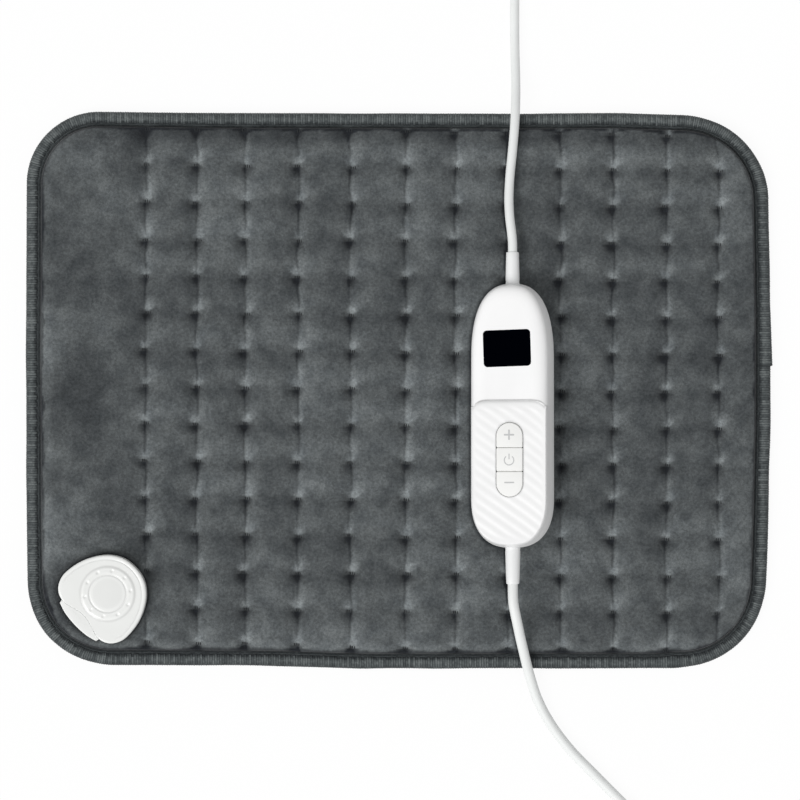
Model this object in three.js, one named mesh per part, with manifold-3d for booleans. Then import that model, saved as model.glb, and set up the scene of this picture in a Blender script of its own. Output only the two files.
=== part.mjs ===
// Heating pad with a handset controller: a quilted plush pad with its coupling socket, a handset
// with a display and three sprung buttons, a mains lead with its plug and a pad lead with its
// connector. Millimetres, +Z up, +X along the pad's long side. The origin is the middle of the
// pad's underside.

import * as THREE from 'three';
import { mergeVertices } from 'three/addons/utils/BufferGeometryUtils.js';
import Module from 'manifold-3d';

const wasm = await Module();
wasm.setup();

// Clearances and cuts that all pieces share
const gap = 0.3;
const overrun = 2;

// How many sides round pieces have
const roundSides = { dimple: 6, hole: 8, pin: 10, post: 12, sleeve: 14, disc: 28, quarter: 8 };

// The pad's layers, from the underside up
const pad = { length: 400, width: 300, cornerRadius: 47, tightCornerRadius: 39 };
const cover = {
  underThickness: 3.4, crownLoft: 4.3, edgeLoft: 1.5, seatThickness: 1.9, rimThickness: 1.8,
  edgeFall: 14, pocketMargin: 6, underEdgeLift: 0.8, floorCut: 0.5,
};
const carrier = { thickness: 0.9, margin: 3 };
const wire = { diameter: 1.5, returnOffset: 8, turnClearance: 6.5, leadOffset: 12 };
const wireEndShares = [[-0.25, 0.98], [-0.45, 1.3], [0.22, 0.98]];
const binding = { width: 8, wall: 1.2, rollDepth: 1.9, rounding: 2.2, lipRounding: 0.6 };

// Quilting: bar tacks in columns and rows, worked from the top
const quilt = {
  rowPitch: 19.9, rowFall: 0.0097, channelDepth: 1.2, tuftDepth: 1.5, plainField: 64.4, rightMargin: 27.2,
};
const tuftColumnShares = [
  0, 0.0885, 0.1732, 0.2659, 0.3573, 0.4533, 0.5405, 0.6307, 0.7237, 0.8155, 0.9082, 1,
];
const plainFieldShares = [0.158, 0.379];
const rightEdgeShare = 0.5;

// Coupling socket, in a group turned so that its mouth looks along its own +X
const socket = {
  fromLeft: 44.1, fromFront: 40.8, turn: 223.4, reach: 24.4, halfWidth: 23.7,
  floorThickness: 2.3, mouthHeight: 5.2, mouthHalfWidth: 11, roofThickness: 1.2,
  cavityBack: -8, cavityFront: 11, ledgeRise: 2.6,
  lidThickness: 3.0, lidRounding: 1.1, discRadius: 9.6, grooveWidth: 0.7, grooveDepth: 0.6,
  ringRadius: 14.3, ringRise: 0.5, dimples: 10, dimpleRadius: 0.8, dimpleDepth: 0.5, dimpleOrbit: 12.4,
  plateInset: 3.5, plateThickness: 1.4,
};
const lidRimShares = [
  [-0.836, 0], [-0.787, 0.321], [-0.639, 0.574], [-0.434, 0.759], [-0.123, 0.924],
  [0.18, 0.996], [0.463, 0.996], [0.684, 0.886], [0.791, 0.743], [0.828, 0.616],
];
const partingShares = [[0.816, 0.485], [0.775, 0.338], [0.73, 0.169], [0.709, 0]];
const ledgeFrontShares = [[0.906, 0.595], [0.975, 0.338], [1, 0]];
const pin = { count: 4, pitch: 5, radius: 0.8, tail: 3, reach: 4.2 };
const clampScrew = { headRadius: 2.5, headHeight: 0.8, shankRadius: 1.3, bite: 4.4 };
const clampScrewShares = [[-0.553, 0], [0.16, 0.7], [0.16, -0.7]];

// Parts sewn into the pad beside the wire
const cutout = { length: 16, width: 6, height: 2.5, fromSocket: 57.2 };
const sensor = { length: 6, width: 4, height: 2.4, yShare: 0.03 };

// Handset, in a group that leans with it: its own +Y runs to the mains lead, +Z out of the face
const handset = {
  x: 61.3, y: -13.7, roll: -9, pitch: -2.5, length: 141.6, width: 44.5, topCap: 42, bottomCap: 27.5,
  squareness: 2.5, faceHeight: 13.2, bellyDepth: 9, keelRise: 2, wall: 2.2, ringSteps: 10,
  panelDepth: 0.8, panelMargin: 3.6,
};
const panelTopShare = 0.0516;
const faceDraftShares = [[0, 0], [0.68, 0.055], [0.86, 0.09], [0.95, 0.145], [0.993, 0.235], [1, 0.36]];
const bellyDraftShares = [[1, 0.72], [0.93, 0.45], [0.78, 0.22], [0.44, 0.075], [0, 0.006]];
const lens = { x: -0.9, yShare: 0.25, width: 25.3, height: 19.4, radius: 2, thickness: 2.3 };
const board = {
  lengthShare: 0.685, yShare: -0.0106, width: 34, bottom: 2, thickness: 1.6, radius: 3, postRadius: 2,
};
const boardPostShares = [[-0.36, -0.4], [0.36, -0.4], [-0.36, 0.3], [0.36, 0.3]];
const caseScrew = {
  x: 9.5, topShare: 0.3884, bottomShare: -0.4025, headRadius: 2.4, headHeight: 1.6, shankRadius: 1.3,
  bossRadius: 3, seatBossRadius: 3.6, bite: 4.4, seatDepth: 4.3,
};

// Buttons: one capsule split in three, each on its own tactile switch
const keys = {
  width: 14.6, topShare: -0.0282, bottomShare: -0.31, slotGap: 0.35, seamGap: 0.5, proud: 0.6, skirt: 1.8,
  flange: 0.9, flangeThickness: 1.2, flangeSlack: 0.4, stemRadius: 2, travel: 0.5,
};
const keyCutShares = { plus: [0, 0.338], power: [0.338, 0.657], minus: [0.657, 1] };
const tact = {
  side: 6, height: 2.6, plungerRadius: 1.5, plungerGap: 0.35, plungerSeat: 1, plungerProud: 0.5,
};
const relay = { x: 9, yShare: 0.0953, length: 12, width: 14, height: 5.8 };
const smoothing = { x: -10.5, yShare: 0.1165, radius: 4, height: 5.8 };
const suppression = { x: -9, yShare: 0.0516, length: 13, width: 5, height: 5 };
const chip = { x: -11.5, yShare: -0.212, side: 7, height: 1.2 };
const fuse = { yShare: -0.3284, radius: 2.2, length: 20 };

// Glands: tapered sleeves with a collar behind the handset's wall
const mainsGland = { length: 17, rootRadius: 3.8, tipRadius: 3.2, collarRadius: 5, collarLength: 2.4 };
const padGland = { length: 19.4, rootRadius: 4.1, tipRadius: 3.4, collarRadius: 5, collarLength: 2.4 };

// Leads: free stretch, coil, tie and tail
const mainsLead = { diameter: 5, sides: 8, steps: 30 };
const padLead = { diameter: 5.5, sides: 8, steps: 34 };
const coilForm = { turnGap: 0.6, stepsPerTurn: 24, sides: 6 };
const mainsCoil = { x: 27.8, y: 258, innerRadius: 21, turnsPerLayer: 2.5, layers: 4, start: 0, sense: 1 };
const padCoil = { x: 122.8, y: -272.7, innerRadius: 28, turnsPerLayer: 1, layers: 2, start: 45, sense: -1 };
const tie = { thickness: 0.6, width: 7, azimuth: 135 };
const mainsRoute = [
  [60.8, 84.5, 18.2], [59.8, 93, 17.1], [59.4, 103, 15.6], [60, 115, 14.3], [61.2, 127, 13.8],
  [62.3, 139, 12.9], [63, 150, 10.7], [63.3, 161, 7.6], [63.2, 172, 4.8], [62.9, 184, 3.1],
  [62.8, 197, 2.7], [62.8, 212, 2.7], [62.8, 228, 2.9], [62.8, 241, 3.3],
];
const mainsTailRoute = [
  [62.6, 275, 19.4], [61, 284, 16.9], [57.2, 292.4, 13.6], [50.8, 299.6, 10.4], [43.2, 304.6, 8.2],
  [36.4, 307, 7.2],
];
const padRoute = [
  [61.6, -114, 26.6], [62.6, -119.5, 25.5], [64, -126, 23.1], [65.4, -132.5, 19.8], [67.1, -139.5, 15.8],
  [68.8, -146.5, 11.9], [70.4, -152.5, 8.7], [72.3, -158.8, 6], [74.6, -165.5, 4], [78.9, -174.5, 2.9],
  [85.6, -185, 2.8], [94, -195.4, 2.9], [104, -205.6, 2.9], [115, -216.7, 3], [126, -227.7, 3.2],
  [134, -235.7, 3.5],
];
const padTailRoute = [
  [160.2, -263.6, 9.2], [164.4, -273, 7.6], [165.4, -284.5, 5.6], [162.4, -297, 4], [155.2, -308.4, 3.4],
  [144.5, -317.3, 3.9], [132, -322.9, 5.1],
];

// Plug on the mains lead and connector on the pad lead, each lying with its back to its tail
const plug = {
  x: 25, y: 307.8, width: 35.3, height: 13.7, depth: 34, glandLength: 26, glandRadius: 4.6,
  glandTipRadius: 3.3, glandSeat: 4, pinRadius: 2, pinLength: 19, pinSpacing: 18.6, pinSeat: 8,
  sleeveLength: 10, sleeveWall: 0.5,
};
const plugSides = 20;
const plugSquareness = 0.7;
const plugLoftShares = [[0, 0.34, 0.74], [0.2, 0.62, 0.9], [0.45, 0.88, 1], [0.7, 0.98, 1], [1, 1, 1]];
const connector = {
  x: 119, y: -324, width: 30, depth: 32, thickness: 11, cornerRadius: 6, rounding: 1.6,
  glandLength: 20, glandRadius: 4.3, glandTipRadius: 3.4, glandSeat: 4,
  tongueWidth: 21, tongueHeight: 4, tongueReach: 9, tongueSeat: 10, contactRadius: 1.2, contactDepth: 6,
};

// Finishes
const finish = (color, roughness, metalness = 0) =>
  new THREE.MeshStandardMaterial({ color, roughness, metalness });
const plush = finish(0x53595b, 0.95);
const bindingYarn = finish(0x4b5052, 0.9);
const felt = finish(0xc9c4b8, 0.95);
const wireCoat = finish(0xb8452f, 0.5);
const whiteGloss = finish(0xf4f4f3, 0.32);
const greyShell = finish(0xe3e4e4, 0.4);
const buttonWhite = finish(0xe9e9e7, 0.45);
const glassBlack = finish(0x05070c, 0.12);
const cordWhite = finish(0xe4e6e5, 0.5);
const nickel = finish(0xb9b7b0, 0.3, 1);
const steel = finish(0x9a9c9e, 0.35, 1);
const boardGreen = finish(0x1f5a3a, 0.6);
const darkPlastic = finish(0x2a2c2f, 0.55);
const tieBlack = finish(0x2e3032, 0.7);

const model = new THREE.Group();

function place(parent, name, geometry, material) {
  const mesh = new THREE.Mesh(geometry, material);
  mesh.name = name;
  parent.add(mesh);
  return mesh;
}

// Solids: closed meshes that can be joined and cut
function toSolid(geometry) {
  let bare = geometry;
  if (geometry.attributes.normal) {
    bare = geometry.clone();
    bare.deleteAttribute('normal');
    bare.deleteAttribute('uv');
    bare = mergeVertices(bare);
  }
  const vertProperties = new Float32Array(bare.attributes.position.array);
  const triVerts = new Uint32Array(bare.index.array);
  return new wasm.Manifold(new wasm.Mesh({ numProp: 3, vertProperties, triVerts }));
}

function toGeometry(solid) {
  const mesh = solid.getMesh();
  const geometry = new THREE.BufferGeometry();
  geometry.setAttribute('position', new THREE.BufferAttribute(new Float32Array(mesh.vertProperties), 3));
  geometry.setIndex(new THREE.BufferAttribute(new Uint32Array(mesh.triVerts), 1));
  return geometry;
}

const join = (geometries) => geometries.map(toSolid).reduce((whole, piece) => whole.add(piece));
const cut = (solid, geometries) =>
  geometries.map(toSolid).reduce((whole, tool) => whole.subtract(tool), solid);
const clip = (solid, geometry) => solid.intersect(toSolid(geometry));

// Where the coupling's contacts lie across it
const pinRow = () =>
  Array.from({ length: pin.count }, (unused, index) => (index - (pin.count - 1) / 2) * pin.pitch);

// Primitive shapes
function block(sizeX, sizeY, z0, z1, x = 0, y = 0) {
  return new THREE.BoxGeometry(sizeX, sizeY, z1 - z0).translate(x, y, (z0 + z1) / 2);
}

function rod(radius, z0, z1, x = 0, y = 0, sides = roundSides.post) {
  return new THREE.CylinderGeometry(radius, radius, z1 - z0, sides)
    .rotateX(Math.PI / 2)
    .translate(x, y, (z0 + z1) / 2);
}

function rodAlongX(radius, x0, x1, y, z, sides = roundSides.sleeve) {
  return new THREE.CylinderGeometry(radius, radius, x1 - x0, sides)
    .rotateZ(-Math.PI / 2)
    .translate((x0 + x1) / 2, y, z);
}

function prism(shape, z0, z1, curveSegments = roundSides.quarter / 2) {
  return new THREE.ExtrudeGeometry(shape, { depth: z1 - z0, bevelEnabled: false, curveSegments })
    .translate(0, 0, z0);
}

// A rectangle with rounded corners; radii run right-bottom, right-top, left-top, left-bottom
function roundedOutline(halfX, halfY, radii, x = 0, y = 0) {
  const corners = [[1, -1], [1, 1], [-1, 1], [-1, -1]];
  const shape = new THREE.Shape();
  corners.forEach(([sideX, sideY], index) => {
    const radius = radii[index];
    const start = (index - 1) * Math.PI / 2;
    const centreX = x + sideX * (halfX - radius);
    const centreY = y + sideY * (halfY - radius);
    shape.absarc(centreX, centreY, radius, start, start + Math.PI / 2, false);
  });
  return shape;
}

const evenOutline = (sizeX, sizeY, radius, x = 0, y = 0) =>
  roundedOutline(sizeX / 2, sizeY / 2, [radius, radius, radius, radius], x, y);

// A closed body through rings of points; each ring runs anticlockwise about the way the rings go
function loft(rings) {
  const sides = rings[0].length;
  const faces = [];
  for (let level = 0; level + 1 < rings.length; level += 1) {
    for (let side = 0; side < sides; side += 1) {
      const here = level * sides + side;
      const next = level * sides + (side + 1) % sides;
      faces.push(here, next, next + sides, here, next + sides, here + sides);
    }
  }
  const last = (rings.length - 1) * sides;
  for (let side = 1; side + 1 < sides; side += 1) {
    faces.push(0, side + 1, side);
    faces.push(last, last + side, last + side + 1);
  }
  const geometry = new THREE.BufferGeometry();
  geometry.setAttribute('position', new THREE.Float32BufferAttribute(rings.flat(2), 3));
  geometry.setIndex(faces);
  return geometry;
}

// A tube with flat ends along points, for paths that climb only gently
function wound(points, radius, sides) {
  const path = points.map((point) => new THREE.Vector3(...point));
  const up = new THREE.Vector3(0, 0, 1);
  const rings = path.map((point, index) => {
    const before = path[Math.max(index - 1, 0)];
    const after = path[Math.min(index + 1, path.length - 1)];
    const along = after.clone().sub(before).normalize();
    const across = up.clone().cross(along).normalize();
    const rise = along.clone().cross(across);
    return Array.from({ length: sides }, (unused, side) => {
      const angle = 2 * Math.PI * (side + 0.5) / sides;
      const offset = across.clone().multiplyScalar(radius * Math.cos(angle));
      return point.clone().add(offset).addScaledVector(rise, radius * Math.sin(angle)).toArray();
    });
  });
  return loft(rings);
}

// A free stretch of cord: a round section carried along a smooth curve
function freeCord(points, cord) {
  const places = points.map((point) => new THREE.Vector3(...point));
  const curve = new THREE.CatmullRomCurve3(places, false, 'centripetal');
  const corners = Array.from({ length: cord.sides }, (unused, side) => {
    const angle = 2 * Math.PI * side / cord.sides;
    return new THREE.Vector2(Math.cos(angle), Math.sin(angle)).multiplyScalar(cord.diameter / 2);
  });
  const section = new THREE.Shape(corners);
  return new THREE.ExtrudeGeometry(section, { steps: cord.steps, extrudePath: curve, bevelEnabled: false });
}

// Pad levels
const carrierFloor = cover.underThickness + gap;
const wireFloor = carrierFloor + carrier.thickness + gap;
const wireLevel = wireFloor + wire.diameter / 2;
const coverInside = wireFloor + wire.diameter + gap;
const coverCrown = coverInside + cover.crownLoft;
const coverEdge = coverInside + cover.edgeLoft;
const seatLevel = coverInside + cover.seatThickness;
const rimFloor = cover.underThickness - cover.rimThickness;
const rimRoof = carrierFloor + cover.rimThickness;
const slotFloor = rimFloor - gap;
const slotRoof = rimRoof + gap;
const bindingTop = slotRoof + binding.wall;
const rimInset = binding.rollDepth + gap;
const pocketInset = binding.width + cover.pocketMargin;
const firstTuft = quilt.plainField - pad.length / 2;
const tuftSpan = pad.length - quilt.plainField - quilt.rightMargin;
const tuftColumns = tuftColumnShares.map((share) => firstTuft + share * tuftSpan);
const tuftRowCount = Math.floor(pad.width / quilt.rowPitch);
const socketX = socket.fromLeft - pad.length / 2;
const socketY = socket.fromFront - pad.width / 2;
const padRadii = (inset) => [pad.cornerRadius, pad.cornerRadius, pad.tightCornerRadius, pad.cornerRadius]
  .map((radius) => radius - inset);
const padOutline = (inset) => roundedOutline(pad.length / 2 - inset, pad.width / 2 - inset, padRadii(inset));

// How far a point lies inside the pad's outline
function edgeDistance(x, y) {
  const radius = x < 0 && y > 0 ? pad.tightCornerRadius : pad.cornerRadius;
  const overX = Math.abs(x) - (pad.length / 2 - radius);
  const overY = Math.abs(y) - (pad.width / 2 - radius);
  if (overX > 0 && overY > 0) {
    return radius - Math.hypot(overX, overY);
  }
  return Math.min(pad.length / 2 - Math.abs(x), pad.width / 2 - Math.abs(y));
}

// Quarter-round rise of the quilt from the binding inwards, from 0 to 1
function edgeRise(x, y) {
  const inside = (edgeDistance(x, y) - binding.width) / cover.edgeFall;
  const reach = Math.min(Math.max(inside, 0), 1);
  return Math.sqrt(1 - (1 - reach) ** 2);
}

const topHeight = (x, y, sink) => coverEdge + (coverCrown - coverEdge) * edgeRise(x, y) - sink;

// A slab with one quilted side: a grid of columns and rows over a flat floor
function quilted(columns, rows, fall, heightAt, floor) {
  const countX = columns.length;
  const countY = rows.length;
  const positions = [];
  for (const row of rows) {
    for (const column of columns) {
      const inner = row.sink !== undefined;
      const y = row.at - (inner ? fall * column.at : 0);
      const sink = (column.depth ?? 0) + (row.sink ?? 0) * (column.depth ? 1 : 0);
      positions.push(column.at, y, heightAt(column.at, y, sink));
    }
  }
  const faces = [];
  for (let row = 0; row + 1 < countY; row += 1) {
    for (let column = 0; column + 1 < countX; column += 1) {
      const here = row * countX + column;
      faces.push(here, here + 1, here + countX + 1, here, here + countX + 1, here + countX);
    }
  }
  const rim = [];
  for (let column = 0; column + 1 < countX; column += 1) rim.push(column);
  for (let row = 0; row + 1 < countY; row += 1) rim.push(row * countX + countX - 1);
  for (let column = countX - 1; column > 0; column -= 1) rim.push((countY - 1) * countX + column);
  for (let row = countY - 1; row > 0; row -= 1) rim.push(row * countX);
  const firstFloor = positions.length / 3;
  rim.forEach((vertex) => positions.push(positions[vertex * 3], positions[vertex * 3 + 1], floor));
  const middle = positions.length / 3;
  positions.push(0, 0, floor);
  rim.forEach((vertex, index) => {
    const next = (index + 1) % rim.length;
    faces.push(vertex, firstFloor + index, firstFloor + next, vertex, firstFloor + next, rim[next]);
    faces.push(middle, firstFloor + next, firstFloor + index);
  });
  const geometry = new THREE.BufferGeometry();
  geometry.setAttribute('position', new THREE.Float32BufferAttribute(positions, 3));
  geometry.setIndex(faces);
  return geometry;
}

// The grid's columns: plain field, then each tuft column and the crown beside it
function quiltColumns() {
  const lines = [{ at: -pad.length / 2 }];
  plainFieldShares.forEach((share) => lines.push({ at: share * quilt.plainField - pad.length / 2 }));
  tuftColumns.forEach((x, index) => {
    lines.push({ at: x, depth: quilt.channelDepth });
    if (index + 1 < tuftColumns.length) {
      lines.push({ at: (x + tuftColumns[index + 1]) / 2 });
    }
  });
  lines.push({ at: pad.length / 2 - rightEdgeShare * quilt.rightMargin }, { at: pad.length / 2 });
  return lines;
}

// The grid's rows: each row of tufts and the crown between it and the next
function quiltRows() {
  const lines = [{ at: -pad.width / 2 }];
  const first = -(tuftRowCount - 1) / 2 * quilt.rowPitch;
  for (let row = 0; row < tuftRowCount; row += 1) {
    lines.push({ at: first + row * quilt.rowPitch, sink: quilt.tuftDepth });
    if (row + 1 < tuftRowCount) {
      lines.push({ at: first + (row + 0.5) * quilt.rowPitch, sink: 0 });
    }
  }
  lines.push({ at: pad.width / 2 });
  return lines;
}

// Coupling socket outlines in its own frame
const socketPoint = ([shareX, shareY], grow = 0, side = 1) =>
  new THREE.Vector2(shareX * (socket.reach + grow), side * shareY * (socket.halfWidth + grow));

function socketOutline(frontShares, grow) {
  const back = lidRimShares.map((share) => socketPoint(share, grow));
  const backMirrored = lidRimShares.slice(1).map((share) => socketPoint(share, grow, -1)).reverse();
  const front = frontShares.map((share) => socketPoint(share, grow));
  const frontMirrored = frontShares.slice(0, -1).map((share) => socketPoint(share, grow, -1)).reverse();
  const shape = new THREE.Shape();
  shape.moveTo(backMirrored[0].x, backMirrored[0].y);
  shape.splineThru([...backMirrored.slice(1), ...back]);
  [...front, ...frontMirrored].forEach((point) => shape.lineTo(point.x, point.y));
  return shape;
}

// The ledge in front of the lid, from the parting line to the mouth's edge
function ledgeOutline() {
  const tipShare = [lidRimShares.at(-1)[0], ledgeFrontShares[0][1]];
  const inner = [tipShare, ...partingShares];
  const shape = new THREE.Shape();
  const shifted = (share, side) => socketPoint(share, 0, side).add(new THREE.Vector2(gap, 0));
  const loop = [
    ...ledgeFrontShares.map((share) => socketPoint(share)).reverse(),
    ...inner.map((share) => shifted(share, 1)),
    ...inner.slice(0, -1).map((share) => shifted(share, -1)).reverse(),
    ...ledgeFrontShares.slice(0, -1).map((share) => socketPoint(share, 0, -1)),
  ];
  shape.moveTo(loop[0].x, loop[0].y);
  loop.slice(1).forEach((point) => shape.lineTo(point.x, point.y));
  return shape;
}

const socketGroup = new THREE.Group();
socketGroup.position.set(socketX, socketY, 0);
socketGroup.rotation.z = THREE.MathUtils.degToRad(socket.turn);
model.add(socketGroup);

const inSocketGroup = (geometry) =>
  geometry.rotateZ(THREE.MathUtils.degToRad(socket.turn)).translate(socketX, socketY, 0);
const clampScrewPlaces = clampScrewShares.map((share) => socketPoint(share));

// Soft pieces of the pad
function makeCovers() {
  const columns = quiltColumns();
  const top = quilted(columns, quiltRows(), quilt.rowFall, topHeight, carrierFloor - overrun);
  const bindingBand = cut(join([prism(padOutline(-overrun), rimRoof, coverCrown + overrun)]), [
    prism(padOutline(binding.width + gap), rimRoof - overrun, coverCrown + 2 * overrun),
  ]);
  const seatShape = socketOutline(ledgeFrontShares, 2 * gap);
  const seat = inSocketGroup(prism(seatShape, seatLevel, coverCrown + overrun, 1));
  const screwHoles = clampScrewPlaces.map(({ x, y }) =>
    inSocketGroup(rod(clampScrew.shankRadius + gap, coverInside - overrun, seatLevel + overrun, x, y,
      roundSides.hole)));
  const pocket = prism(padOutline(pocketInset), carrierFloor - overrun, coverInside);
  const trimmedTop = clip(join([top]), prism(padOutline(rimInset), carrierFloor, coverCrown + overrun));
  const coverTop = cut(trimmedTop.subtract(bindingBand), [pocket, seat, ...screwHoles]);
  place(model, 'pad_cover_top', toGeometry(coverTop), plush);

  const underRows = [{ at: -pad.width / 2 }, { at: -pad.width / 2 + pocketInset, sink: 0 },
    { at: pad.width / 2 - pocketInset, sink: 0 }, { at: pad.width / 2 }];
  const mirrored = columns.map(({ at, depth }) => ({ at: -at, depth })).reverse();
  const underHeight = (x, y, sink) =>
    cover.floorCut - cover.underEdgeLift * (1 - edgeRise(-x, y)) - sink;
  const under = quilted(mirrored, underRows, 0, underHeight, -cover.underThickness - overrun)
    .rotateY(Math.PI);
  const underBand = cut(join([prism(padOutline(-overrun), -overrun, rimFloor)]), [
    prism(padOutline(binding.width + gap), -2 * overrun, rimFloor + overrun),
  ]);
  const trimmedUnder = clip(join([under]), prism(padOutline(rimInset), 0, cover.underThickness));
  place(model, 'pad_cover_bottom', toGeometry(trimmedUnder.subtract(underBand)), plush);
}

// The binding: a rounded channel swept round the outline, gripping both covers' rims
function makeBinding() {
  const { width, rounding, lipRounding } = binding;
  const eased = rounding * (1 - Math.SQRT1_2);
  const profile = [
    [rounding, 0], [width - lipRounding, 0], [width, lipRounding], [width, slotFloor],
    [binding.rollDepth, slotFloor], [binding.rollDepth, slotRoof], [width, slotRoof],
    [width, bindingTop - lipRounding], [width - lipRounding, bindingTop], [rounding, bindingTop],
    [eased, bindingTop - eased], [0, bindingTop - rounding], [0, rounding], [eased, eased],
  ];
  const corners = [[1, -1], [1, 1], [-1, 1], [-1, -1]];
  const radii = padRadii(0);
  const positions = [];
  corners.forEach(([sideX, sideY], index) => {
    const centreX = sideX * (pad.length / 2 - radii[index]);
    const centreY = sideY * (pad.width / 2 - radii[index]);
    for (let step = 0; step <= roundSides.quarter; step += 1) {
      const angle = (index - 1 + step / roundSides.quarter) * Math.PI / 2;
      profile.forEach(([inward, z]) => {
        const reach = radii[index] - inward;
        positions.push(centreX + reach * Math.cos(angle), centreY + reach * Math.sin(angle), z);
      });
    }
  });
  const sides = profile.length;
  const stations = positions.length / 3 / sides;
  const faces = [];
  for (let station = 0; station < stations; station += 1) {
    const ahead = (station + 1) % stations;
    for (let side = 0; side < sides; side += 1) {
      const next = (side + 1) % sides;
      const [a, b] = [station * sides + side, station * sides + next];
      const [c, d] = [ahead * sides + side, ahead * sides + next];
      faces.push(a, b, d, a, d, c);
    }
  }
  const geometry = new THREE.BufferGeometry();
  geometry.setAttribute('position', new THREE.Float32BufferAttribute(positions, 3));
  geometry.setIndex(faces);
  place(model, 'edge_binding', geometry, bindingYarn);
}

// The wire runs up and down between the tack columns, comes home along the lower edge, and both of
// its ends reach the coupling socket
function wireRoute() {
  const edgeInset = pocketInset + carrier.margin + wire.diameter;
  const runs = tuftColumns.slice(1).map((x, index) => (x + tuftColumns[index]) / 2);
  runs.push(pad.length / 2 - edgeInset);
  const homeY = edgeInset - pad.width / 2;
  const farthest = pad.width / 2 - edgeInset - wire.turnClearance;
  const nearest = homeY + wire.returnOffset;
  const socketTurn = THREE.MathUtils.degToRad(socket.turn);
  const toPad = (shares) => {
    const turned = socketPoint(shares).rotateAround(new THREE.Vector2(), socketTurn);
    return [socketX + turned.x, socketY + turned.y, wireLevel];
  };
  const points = [toPad(wireEndShares[0]), toPad(wireEndShares[1])];
  points.push([runs[0], nearest + wire.leadOffset, wireLevel]);
  const bend = (x, y, radius, angle) =>
    [x + radius * Math.cos(angle), y + radius * Math.sin(angle), wireLevel];
  runs.slice(0, -1).forEach((x, index) => {
    const sign = index % 2 === 0 ? 1 : -1;
    const end = sign > 0 ? farthest : nearest;
    const radius = (runs[index + 1] - x) / 2;
    for (const share of [0, 0.25, 0.5, 0.75, 1]) {
      points.push(bend(x + radius, end - sign * radius, radius, sign * Math.PI * (1 - share)));
    }
  });
  const cornerRadius = pad.cornerRadius - edgeInset;
  const [cornerX, cornerY] = [pad.length / 2 - pad.cornerRadius, pad.cornerRadius - pad.width / 2];
  for (const share of [0, 0.25, 0.5, 0.75, 1]) {
    points.push(bend(cornerX, cornerY, cornerRadius, -share * Math.PI / 2));
  }
  points.push([runs[0] - wire.leadOffset, homeY, wireLevel], toPad(wireEndShares[2]));
  return points;
}

// Felt carrier, wire, cut-out and sensor
function makeHeater() {
  const outline = padOutline(pocketInset + gap);
  const firstColumn = tuftColumns[0];
  const cutoutX = firstColumn - cutout.length;
  const cutoutY = socketY + cutout.fromSocket;
  const sensorX = tuftColumns[5] + sensor.length;
  const sensorY = sensor.yShare * pad.width;
  const roof = carrierFloor + carrier.thickness + overrun;
  const windows = [
    block(cutout.length + 2 * gap, cutout.width + 2 * gap, carrierFloor - overrun, roof, cutoutX, cutoutY),
    block(sensor.length + 2 * gap, sensor.width + 2 * gap, carrierFloor - overrun, roof, sensorX, sensorY),
    inSocketGroup(
      block(4 * socket.reach, 2 * (socket.halfWidth + gap), carrierFloor - overrun, roof, socket.reach)),
  ];
  const sheet = cut(join([prism(outline, carrierFloor, carrierFloor + carrier.thickness)]), windows);
  place(model, 'heating_carrier', toGeometry(sheet), felt);
  place(model, 'heating_wire', wound(wireRoute(), wire.diameter / 2, 6), wireCoat);
  const onUnderside = ({ length, width, height }, x, y) =>
    block(length, width, carrierFloor, carrierFloor + height, x, y);
  place(model, 'thermal_cutout', onUnderside(cutout, cutoutX, cutoutY), steel);
  place(model, 'temperature_sensor', onUnderside(sensor, sensorX, sensorY), darkPlastic);
}

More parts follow.
